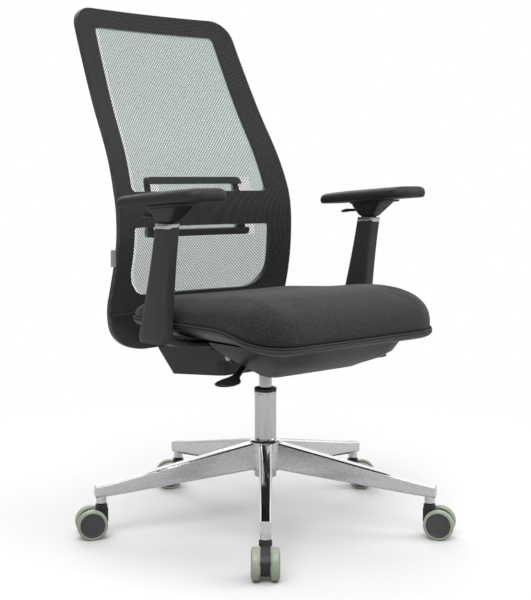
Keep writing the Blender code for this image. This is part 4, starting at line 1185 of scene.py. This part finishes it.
@dataclass
class Backrest(Assembly):
    """Curved backrest: a two-window frame wrapped in knit, with an open net stretched over it."""

    bottom: float = 0.3380
    top: float = 1.0630
    corner: float = 0.0450
    thick: float = 0.0130
    rail: float = 0.0480
    window_top: float = 1.0210
    crossbar_top: float = 0.6770
    crossbar_low: float = 0.6040
    window_low: float = 0.4620
    net_low: float = 0.4265
    net_cell: float = 0.0070
    strand: float = 0.00175
    veil_inset: float = 0.0085
    parallax: float = 0.0090
    lumbar_low: float = 0.5815
    lumbar_top: float = 0.7075
    lumbar_half: float = 0.1380
    lumbar_bar: float = 0.0155
    lumbar_side: float = 0.0260
    lumbar_corner: float = 0.0090
    lumbar_taper: float = 0.012
    net_front: float = -0.0008
    veil_front: float = -0.0002
    net_flat: Flat = (0.49, 0.67)
    net_cover: float = 0.31
    veil_flats: Rows = ((0.385, 0.375), (0.400, 0.150))
    stations: tuple[Flat, ...] = (
        (0.338, 0.290), (0.38, 0.274), (0.42, 0.256), (0.46, 0.243), (0.50, 0.232), (0.55, 0.222),
        (0.60, 0.218), (0.65, 0.221), (0.70, 0.233), (0.76, 0.255), (0.85, 0.298), (0.95, 0.3395),
        (1.063, 0.3850))

    def line(self, z: float) -> float:
        """Give y of the middle of the front face at a height, smoothly through the stations."""
        marks = self.stations
        index = max(0, min(len(marks) - 2, sum(1 for mark in marks if mark[0] <= z) - 1))
        (z0, y0), (z1, y1) = marks[index], marks[index + 1]

        def slope(place: int) -> float:
            """Give the slope at a station, from its neighbours."""
            first, last = marks[max(0, place - 1)], marks[min(len(marks) - 1, place + 1)]
            return (last[1] - first[1]) / (last[0] - first[0])
        span = z1 - z0
        share = (z - z0) / span
        square, cube = share * share, share ** 3
        return ((2.0 * cube - 3.0 * square + 1.0) * y0
                + (cube - 2.0 * square + share) * span * slope(index)
                + (3.0 * square - 2.0 * cube) * y1 + (cube - square) * span * slope(index + 1))

    def wrap(self, z: float) -> float:
        """Give how far forward of the middle the side edges are."""
        return between(0.045, 0.020, ease((z - 0.65) / 0.40))

    def side(self, z: float) -> float:
        """Give half the width at a height, before the top corners are rounded."""
        if z < 0.460:
            share = (0.460 - z) / (0.460 - self.bottom)
            return 0.085 + 0.154 * math.sqrt(max(0.0, 1.0 - share * share))
        if z > 0.68:
            return between(0.2335, 0.2085, (z - 0.68) / (self.top - 0.68))
        return between(0.2385, 0.2335, ease((z - 0.46) / 0.14))

    def half(self, z: float) -> float:
        """Give half the width at a height."""
        beyond = max(0.0, z - (self.top - self.corner))
        return self.side(z) - (self.corner - math.sqrt(max(0.0, self.corner ** 2 - beyond ** 2)))

    def place(self, x: float, z: float, depth: float) -> Point:
        """Give the point of the back at x and z, depth behind its front face."""
        share = x / self.side(min(max(z, 0.46), 0.95))
        return (x, self.line(z) - self.wrap(z) * share * share + depth, z)

    def grid(self, heights: Sequence[float], half: Height, depth: float, columns: int) -> Mesh:
        """Give a curved sheet of the back.

        Args:
            heights: z of its rows.
            half: half its width at a height.
            depth: how far it lies behind the front face.
            columns: faces across it.

        Returns:
            The bmesh.
        """
        rows = len(heights) - 1
        bm = bmesh.new()
        bmesh.ops.create_grid(bm, x_segments=columns, y_segments=rows, size=1.0)
        for vert in bm.verts:
            z = heights[round((vert.co.y + 1.0) / 2.0 * rows)]
            vert.co = self.place(vert.co.x * half(z), z, depth)

        return bm

    def heights(self, low: float, high: float, count: int, ends: float = 0.0) -> list[float]:
        """Give heights between two levels, drawn closer near the ends.

        Args:
            low: the lowest.
            high: the highest.
            count: how many stretches.
            ends: 0 for even, 1 for the closest ends.

        Returns:
            The heights.
        """
        result = []
        for step in range(count + 1):
            share = step / count
            curved = 0.5 - 0.5 * math.cos(math.pi * share)
            result.append(between(low, high, between(share, curved, ends)))
        return result

    def slab(self, heights: Sequence[float], half: Height, front: float, rear: float, columns: int
             ) -> Mesh:
        """Give a curved panel between two depths."""
        bm = self.grid(heights, half, front, columns)
        grown = bmesh.ops.extrude_face_region(bm, geom=bm.faces)["geom"]
        bmesh.ops.translate(bm, verts=[item for item in grown if isinstance(item, bmesh.types.BMVert)],
                            vec=(0.0, rear - front, 0.0))
        return bm

    def window(self, low: float, high: float, low_radius: float, high_radius: float, grow: float = 0.0
               ) -> list[Flat]:
        """Give the outline of an opening.

        Args:
            low: its sill.
            high: its top.
            low_radius: of its lower corners.
            high_radius: of its upper corners.
            grow: how far it is widened all round.

        Returns:
            Points of (x, z), up the left-hand side and down the other.
        """
        right = []
        for z in self.heights(low - grow, high + grow, 40, 1.0):
            x = self.side(max(z, 0.46)) - self.rail + grow
            rise, fall = z - (low - grow), (high + grow) - z
            if rise < low_radius:
                x -= low_radius - math.sqrt(max(0.0, low_radius ** 2 - (low_radius - rise) ** 2))
            if fall < high_radius:
                x -= high_radius - math.sqrt(max(0.0, high_radius ** 2 - (high_radius - fall) ** 2))
            right.append((x, z))
        return right + [(-x, z) for x, z in reversed(right)]

    def windows(self, grow: float = 0.0) -> tuple[list[Flat], list[Flat]]:
        """Give the outlines of the upper and the lower opening."""
        return (self.window(self.crossbar_top, self.window_top, 0.012, 0.010, grow),
                self.window(self.window_low, self.crossbar_low, 0.060, 0.006, grow))

    def frame(self) -> None:
        """Build the frame with its two openings, knit on its front and plain behind."""
        bm = self.slab(self.heights(self.bottom, self.top, 90, 1.0), self.half, 0.0, self.thick, 40)
        round_edges(bm, 0.0028, 3, 50.0)
        made = self.piece(bm, "back_frame_look", "frame_knit", "back", ("back_frame",), "mesh_fabric",
                          sharp=45.0)
        for outline in self.windows():
            cut(made, loft([[(x, depth, z) for x, z in outline] for depth in (0.0, 0.6)]))
        made.data.materials.append(self.palette["dark_grey_moulding"])
        for polygon in made.data.polygons:
            front = polygon.normal.y < -0.35 or abs(polygon.center.x - AXIS.x) > self.side(0.9) + 0.001
            if polygon.center.z < self.net_low - 0.004 or not front:
                polygon.material_index = 1
        crisp(made, 45.0)

    def net(self) -> None:
        """Build the open net of diamond cells over the whole front."""
        width, height = 2.0 * self.side(0.5), self.top - self.net_low
        columns, rows = round(width / self.net_cell), round(height / self.net_cell)
        bm = self.grid(self.heights(self.net_low, self.top, rows), self.side, self.net_front, columns)
        beyond = [face for face in bm.faces
                  if all(abs(vert.co.x) > self.half(vert.co.z) + 1e-6 for vert in face.verts)]
        bmesh.ops.delete(bm, geom=beyond, context="FACES")
        for vert in bm.verts:
            limit = self.half(vert.co.z)
            if abs(vert.co.x) > limit:
                vert.co = self.place(math.copysign(limit, vert.co.x), vert.co.z, self.net_front)
        straight = [edge for edge in bm.edges if not edge.is_boundary]
        bmesh.ops.poke(bm, faces=bm.faces)
        bmesh.ops.dissolve_edges(bm, edges=straight, use_verts=False)
        faces = list(bm.faces)
        bmesh.ops.inset_individual(bm, faces=faces, thickness=self.strand / 2.0, use_even_offset=False)
        bmesh.ops.delete(bm, geom=[face for face in faces if face.is_valid], context="FACES")
        made = self.piece(bm, "back_net", "net_yarn", "back", ("back_mesh",), "mesh_fabric",
                          sharp=180.0, closed=False)

    def area(self, made: Thing) -> float:
        """Give the area of a piece's faces."""
        return sum(polygon.area for polygon in made.data.polygons)

    def veil(self, name: str, outline: Sequence[Flat], flat: Flat) -> None:
        """Build the pale inner knit behind the net, in an opening and clear of the lumbar support.

        Args:
            name: which opening.
            outline: its outline.
            flat: a width and height for the opening; not used.
        """
        marks = [(z, x) for x, z in outline[:41]]
        bm = self.grid(self.heights(marks[0][0], marks[-1][0], 90),
                       lambda z: follow(marks, z) - self.veil_inset, self.veil_front, 80)
        behind = [face for face in bm.faces if self.over_lumbar(face.calc_center_median())]
        bmesh.ops.delete(bm, geom=behind, context="FACES")
        made = self.piece(bm, f"back_veil_{name}", "pale_inner_knit", "back", (), "mesh_fabric",
                          sharp=180.0, closed=False)

    def over_lumbar(self, place: Vector) -> bool:
        """Tell whether a place in front of the back is over the lumbar support's ring."""
        low, high = self.lumbar_low - 0.001, self.lumbar_top + 0.001
        if not low < place.z < high or abs(place.x) > self.lumbar_half + self.parallax:
            return False
        gap = low + self.lumbar_bar < place.z < high - self.lumbar_bar
        return not gap or abs(place.x) > self.lumbar_half - self.lumbar_side - self.parallax

    def lumbar_reach(self, z: float) -> float:
        """Give half the lumbar support's width at a height."""
        low, high, radius = self.lumbar_low, self.lumbar_top, self.lumbar_corner
        beyond = max(0.0, radius - min(z - low, high - z))
        return (between(self.lumbar_half, self.lumbar_half - self.lumbar_taper, (z - low) / (high - low))
                - (radius - math.sqrt(max(0.0, radius ** 2 - beyond ** 2))))

    def lumbar(self) -> None:
        """Build the lumbar support: a ring that slides up and down behind the net."""
        levels = self.heights(self.lumbar_low, self.lumbar_top, 40, 1.0)
        slot = self.thick + 0.0035
        bm = self.slab(levels, self.lumbar_reach, 0.0030, slot + 0.0040, 30)
        round_edges(bm, 0.0020, 3, 50.0)
        made = self.piece(bm, "lumbar_look", "black_moulding", "lumbar", ("lumbar_support",),
                          "black_plastic", sharp=45.0)
        inner = self.heights(self.lumbar_low + self.lumbar_bar, self.lumbar_top - self.lumbar_bar,
                             24, 0.6)
        cut(made, self.slab(inner, lambda z: 0.2, -0.02, slot, 30))
        cut(made, self.slab(inner, lambda z: self.lumbar_half - self.lumbar_side, -0.02, 0.06, 30))
        crisp(made, 45.0)

    def hem(self) -> None:
        """Build the hem along the net's lower edge."""
        reach = self.half(self.net_low)
        path = [self.place(reach * (step / 20.0 - 1.0), self.net_low, -0.0006) for step in range(41)]
        self.piece(swept(path, 0.0013, False, 8), "back_hem", "welt_cloth", "back", (), "mesh_fabric",
                   sharp=180.0)

    def build(self) -> None:
        """Build the frame, the net, the inner knit, the hem, the lumbar support and the holder."""
        self.frame()
        self.net()
        for name, outline, flat in zip(("upper", "lower"), self.windows(0.0008), self.veil_flats):
            self.veil(name, outline, flat)
        self.hem()
        self.lumbar()
        self.refine("back_carrier", "dark_grey_moulding", "back", "shell_plastic", 0.0030, 3)
        self.refine("side_label", "woven_tab", "back", "label", 0.0003, 1)


@dataclass
class Arm(Assembly):
    """One arm: post with its bracket, collar, sliding riser, trigger and turning pad."""

    side: Side = Side.RIGHT
    x: float = 0.2700
    foot_y: float = 0.0110
    foot_z: float = 0.3960
    collar_y: float = -0.0310
    collar_low: float = 0.6050
    collar_high: float = 0.6220
    top_size: Flat = (0.0290, 0.0470)
    foot_size: Flat = (0.0360, 0.0790)
    riser_size: Flat = (0.0200, 0.0360)
    pad_centre: float = -0.0380
    pad_base: float = 0.6570
    pad_slope: float = math.radians(4.0)
    pad_size: Point = (0.0900, 0.2540, 0.0240)
    pad_corner: float = 0.0300
    # x, lower z, upper z, lower y, upper y
    bracket_rows: Rows = (
        (0.272, 0.3990, 0.4130, -0.022, 0.044), (0.240, 0.3880, 0.3995, -0.026, 0.048),
        (0.200, 0.3840, 0.3940, -0.026, 0.048), (0.110, 0.3765, 0.3850, -0.024, 0.046),
        (0.078, 0.3765, 0.3850, -0.022, 0.044))
    collar_base: float = 0.0073
    flare_shares: tuple[float, ...] = (0.0, 0.12, 0.3, 0.5, 0.72, 0.9, 1.0)
    plate_span: Flat = (-0.0980, 0.0040)
    # inset, rise over the pad's base
    plate_rows: Rows = ((0.0040, -0.0053), (0.0008, -0.0046), (0.0, -0.0030), (0.0, -0.0012))
    pad_rows: Rows = (
        (0.0100, 0.0000), (0.0045, 0.0004), (0.0015, 0.0026), (0.0002, 0.0062), (0.0, 0.0100),
        (0.0006, 0.0140), (0.0024, 0.0178), (0.0056, 0.0207), (0.0105, 0.0226), (0.0180, 0.0236),
        (0.0280, 0.0240))

    def lean(self, z: float) -> float:
        """Give y of the post's middle at a height."""
        return between(self.foot_y, self.collar_y, (z - self.foot_z) / (self.collar_high - self.foot_z))

    def ring(self, size: Flat, z: float, power: float = 3.2, count: int = 40) -> list[Point]:
        """Give a section of the post or riser at a height."""
        return [self.mirrored(x, self.lean(z) + y, z) for x, y in oval(*size, power, count)]

    def mirrored(self, x: float, y: float, z: float) -> Point:
        """Give a point on this side, from the arm's own middle."""
        return (self.side.value[1] * (self.x + x), y, z)

    def bore(self, low: float, high: float, count: int = 40) -> Mesh:
        """Give the shape of the hole that the riser slides in."""
        size = tuple(value + 0.0012 for value in self.riser_size)
        return loft([self.ring(size, z, 2.6, count) for z in (low, high)])

    def slope(self, y: float, rise: float) -> float:
        """Give the height of a plane parallel to the pad's underside at y."""
        return self.pad_base + (self.pad_centre - y) * math.tan(self.pad_slope) + rise

    def named(self, part: str) -> str:
        """Give the name of this side's part."""
        return f"{self.side.value[0]}_{part}"

    def part(self, rings: Sequence[Sequence[Point]], part: str, finish: str, body: str,
             slot: str = "black_plastic", sharp: float = 38.0) -> Thing:
        """Build this side's piece of a frame node from rings.

        Args:
            rings: its sections.
            part: the node's name without its side.
            finish: the finish's name.
            body: the body it moves with.
            slot: the record's material slot.
            sharp: edges sharper than this many degrees stay crisp.

        Returns:
            The piece.
        """
        return self.piece(loft(rings), self.named(f"{part}_look"), finish, body, (self.named(part),),
                          slot, sharp)

    def post(self) -> None:
        """Build the post, smoothly tapered, with its bracket under the seat."""
        rings = []
        for step in range(25):
            share = step / 24.0
            z = between(self.foot_z, self.collar_low + 0.0070, share)
            taper = (1.0 - share) ** 1.6
            shrink = between(0.86, 1.0, math.sqrt(min(1.0, share / 0.07)))
            size = tuple(between(thin, wide, taper) * shrink
                         for thin, wide in zip(self.top_size, self.foot_size))
            rings.append(self.ring(size, z, between(4.4, 5.0, share), 56))
        made = self.part(rings, "arm_post", "post_moulding", "seat")
        bracket = []
        for x, low_z, high_z, low_y, high_y in self.bracket_rows:
            corners = ((low_y, low_z), (high_y, low_z), (high_y, high_z), (low_y, high_z))
            bracket.append([(self.side.value[1] * x, y, z)
                            for y, z in fillet(corners, 0.0035, 4, closed=True)])
        cut(made, loft(bracket), "UNION")
        cut(made, self.bore(self.collar_low - 0.115, self.collar_low + 0.02))
        crisp(made, 45.0)

    def collar(self) -> None:
        """Build the bright collar round the riser."""
        low, high = self.collar_low + self.collar_base, self.collar_high
        rows = ((low, -0.0010), (low + 0.0008, 0.0), (low + 0.0078, 0.0), (high - 0.0003, -0.0008),
                (high, -0.0024))
        made = self.part([self.ring((self.top_size[0] + grow, self.top_size[1] + grow), z, 5.0, 64)
                          for z, grow in rows], "arm_collar", "satin_chrome", "seat", "chrome")
        cut(made, self.bore(low - 0.01, high + 0.01, 64))
        crisp(made, 40.0)

    def riser(self) -> None:
        """Build the sliding bar with its flared head."""
        flare = self.collar_high + 0.004
        rings = [self.ring(self.riser_size, self.collar_low - 0.105, 2.6, 56),
                 self.ring(self.riser_size, flare - 0.003, 2.6, 56)]
        for share in self.flare_shares:
            ring = []
            for (ax, ay), (bx, by) in zip(oval(0.0270, 0.0440, 5.0, 56), oval(0.0500, 0.0850, 7.0, 56)):
                high_y = self.pad_centre - 0.003 + by
                ring.append(self.mirrored(between(ax, bx, share),
                                          between(self.lean(flare) + ay, high_y, share),
                                          between(flare, self.slope(high_y, -0.0066), share)))
            rings.append(ring)
        rings.append([(x, y, self.slope(y, -0.0056)) for x, y, _ in rings[-1]])
        self.part(rings, "arm_riser", "black_moulding", self.named("riser"))

    def plate(self) -> None:
        """Build the thin turning plate between the riser and the pad."""
        rings = []
        for inset, rise in self.plate_rows:
            outline = rounded_rectangle(0.0300 - inset, self.plate_span[0] + inset,
                                        self.plate_span[1] - inset, 0.012, 6)
            rings.append([self.mirrored(x, y, self.slope(y, rise)) for x, y in outline])
        self.part(rings, "pad_plate", "black_moulding", self.named("plate"))

    def pad(self) -> None:
        """Build the soft pad, crowned and rounded, with a crease near its front end."""
        width, length, thick = self.pad_size
        rings = []
        for inset, rise in self.pad_rows:
            outline = rounded_rectangle(width / 2.0 - inset, self.pad_centre - length / 2.0 + inset,
                                        self.pad_centre + length / 2.0 - inset,
                                        max(0.008, self.pad_corner - inset), 10, 110)
            ring = []
            for x, y in outline:
                sunk = (self.crease(y) + self.bow(y)) * rise / thick
                ring.append(self.mirrored(x * (1.0 - self.crease(y) / width), y,
                                          self.slope(y, rise - sunk)))
            rings.append(ring)
        made = self.part(rings, "arm_pad", "pad_skin", self.named("pad"), "soft_pad", 60.0)

    def crease(self, y: float) -> float:
        """Give how far the pad's top is pressed in at y."""
        return 0.0016 * math.exp(-(((y - (self.pad_centre - 0.074)) / 0.0016) ** 2))

    def bow(self, y: float) -> float:
        """Give how much thinner the pad is at y, towards its rear."""
        return 0.0020 * ease((y - self.pad_centre) / (self.pad_size[1] / 2.0)) ** 2

    def build(self) -> None:
        """Build the arm from the post up."""
        self.post()
        self.collar()
        self.riser()
        self.refine(self.named("arm_button"), "black_moulding", self.named("button"), "black_plastic",
                    0.0012, 3)
        self.plate()
        self.pad()


# --- Studio ---------------------------------------------------------------------------------------
@dataclass(frozen=True)
class Softbox:
    """An area light by its place and size."""

    name: str
    place: Point
    aim: Point
    size: float
    watts: float


@dataclass
class Studio:
    """Pale floor, soft lights and the camera."""

    lens: float = 70.84
    sensor: float = 36.0
    eye: Point = (-1.591, -1.767, 0.708)
    tilt: Point = (84.03, 0.0, -42.0)
    floor_mirrored: float = 0.48
    floor_tone: float = 0.77
    floor_clear: Flat = (0.55, 1.30)
    backdrop: Point = (0.66, 0.75, 0.0)
    backdrop_glow: float = 1.0
    backdrop_edge: Flat = (0.55, 0.92)
    sky: tuple[Flat, ...] = ((0.0, 0.08), (1.0, 1.50), (0.50, 0.16), (0.62, 0.26), (0.80, 0.60))
    boxes: tuple[Softbox, ...] = (
        Softbox("key_softbox", (-1.6, -1.2, 2.6), (0.0, 0.0, 0.5), 1.8, 46.0),
        Softbox("fill_softbox", (1.8, -1.8, 1.8), (0.0, 0.0, 0.4), 2.0, 24.0),
        Softbox("rear_softbox", (0.9, 2.2, 2.4), (0.0, 0.0, 0.6), 2.0, 30.0),
    )

    def floor(self) -> None:
        """Lay the floor under the casters."""
        bm = bmesh.new()
        bmesh.ops.create_grid(bm, x_segments=8, y_segments=8, size=30.0)
        made = formed(bm, "studio_floor")
        made.data.materials.append(self.floor_finish())

    def floor_finish(self) -> Material:
        """Make the floor's finish: pale to the eye, and dimmer to what mirrors it.

        Returns:
            The material.
        """
        material, wires, shader = Finish("pale_floor", (0.9, 0.9, 0.9), 0.9, specular=0.0).start()
        seen = wires.node("LightPath").outputs["Is Camera Ray"]
        tone = wires.mix(seen, (self.floor_mirrored,) * 3 + (1.0,), (self.floor_tone,) * 3 + (1.0,))
        reach = wires.vector("LENGTH", {0: wires.place()}, "Value")
        clear = wires.times(seen, wires.spread(reach, 0.0, 1.0, *self.floor_clear))
        for label, value in (("Emission Color", WHITE), ("Emission Strength", clear),
                             ("Base Color", wires.shade(tone, wires.math("SUBTRACT", 1.0, clear)))):
            wires.feed(shader.inputs[label], value)
        return material

    def world(self) -> None:
        """Set the surroundings: white to the eye, a broken grey sky and a backdrop to the rest."""
        world = bpy.data.worlds.new("studio_world")
        bpy.context.scene.world = world
        world.use_nodes = True
        wires = Wiring(world.node_tree)
        way = wires.place("Generated")
        up = wires.node("SeparateXYZ", {0: way}).outputs["Z"]
        sky = wires.node("ValToRGB", {"Fac": wires.spread(up, 0.0, 1.0, -1.0, 1.0)})
        sky.color_ramp.interpolation = "EASE"
        for index, (place, value) in enumerate(self.sky):
            marks = sky.color_ramp.elements
            mark = marks[index] if index < 2 else marks.new(place)
            mark.position = place
            mark.color = (value, value, value, 1.0)
        flags = wires.spread(wires.noise(way, 2.6, 1.0), 0.15, 2.0, 0.42, 0.60)
        facing = wires.vector("DOT_PRODUCT", {0: way, 1: self.backdrop}, "Value")
        white = wires.spread(facing, 0.0, self.backdrop_glow, *self.backdrop_edge)
        both = wires.vector("ADD", {0: wires.shade(sky.outputs["Color"], flags), 1: white})
        seen = wires.node("LightPath").outputs["Is Camera Ray"]
        wires.feed(world.node_tree.nodes["Background"].inputs["Color"], wires.mix(seen, both, WHITE))

    def lights(self) -> None:
        """Hang the soft lights."""
        for box in self.boxes:
            lamp = bpy.data.lights.new(box.name, "AREA")
            lamp.size = box.size
            lamp.energy = box.watts
            made = shown(box.name, lamp)
            made.location = box.place
            way = Vector(box.aim) - Vector(box.place)
            made.rotation_euler = way.to_track_quat("-Z", "Y").to_euler()

    def camera(self) -> None:
        """Stand the camera in front of the right-hand side."""
        lens = bpy.data.cameras.new("camera")
        lens.lens = self.lens
        lens.sensor_width = self.sensor
        lens.sensor_fit = "AUTO"
        lens.clip_end = 100.0
        made = shown("camera", lens)
        made.location = Vector(self.eye) + AXIS
        made.rotation_euler = [math.radians(value) for value in self.tilt]
        bpy.context.scene.camera = made
        bpy.context.scene.view_settings.view_transform = "Standard"

    def build(self) -> None:
        """Set the whole studio."""
        self.floor()
        self.world()
        self.lights()
        self.camera()


def main() -> None:
    """Build every sub-assembly in order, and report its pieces."""
    logging.basicConfig(level=logging.INFO, format="%(name)s: %(message)s")
    palette = {finish.name: finish.build() for finish in FINISHES}
    for assembly in (StarBase(palette), Casters(palette), Mechanism(palette), Seat(palette),
                     Backrest(palette), Arm(palette, side=Side.RIGHT), Arm(palette, side=Side.LEFT)):
        assembly.build()
        assembly.dress()
        for made in assembly.made:
            LOG.info("%s: %s, %d faces", type(assembly).__name__, made.name, len(made.data.polygons))
    Studio().build()


if __name__ == "__main__":
    main()
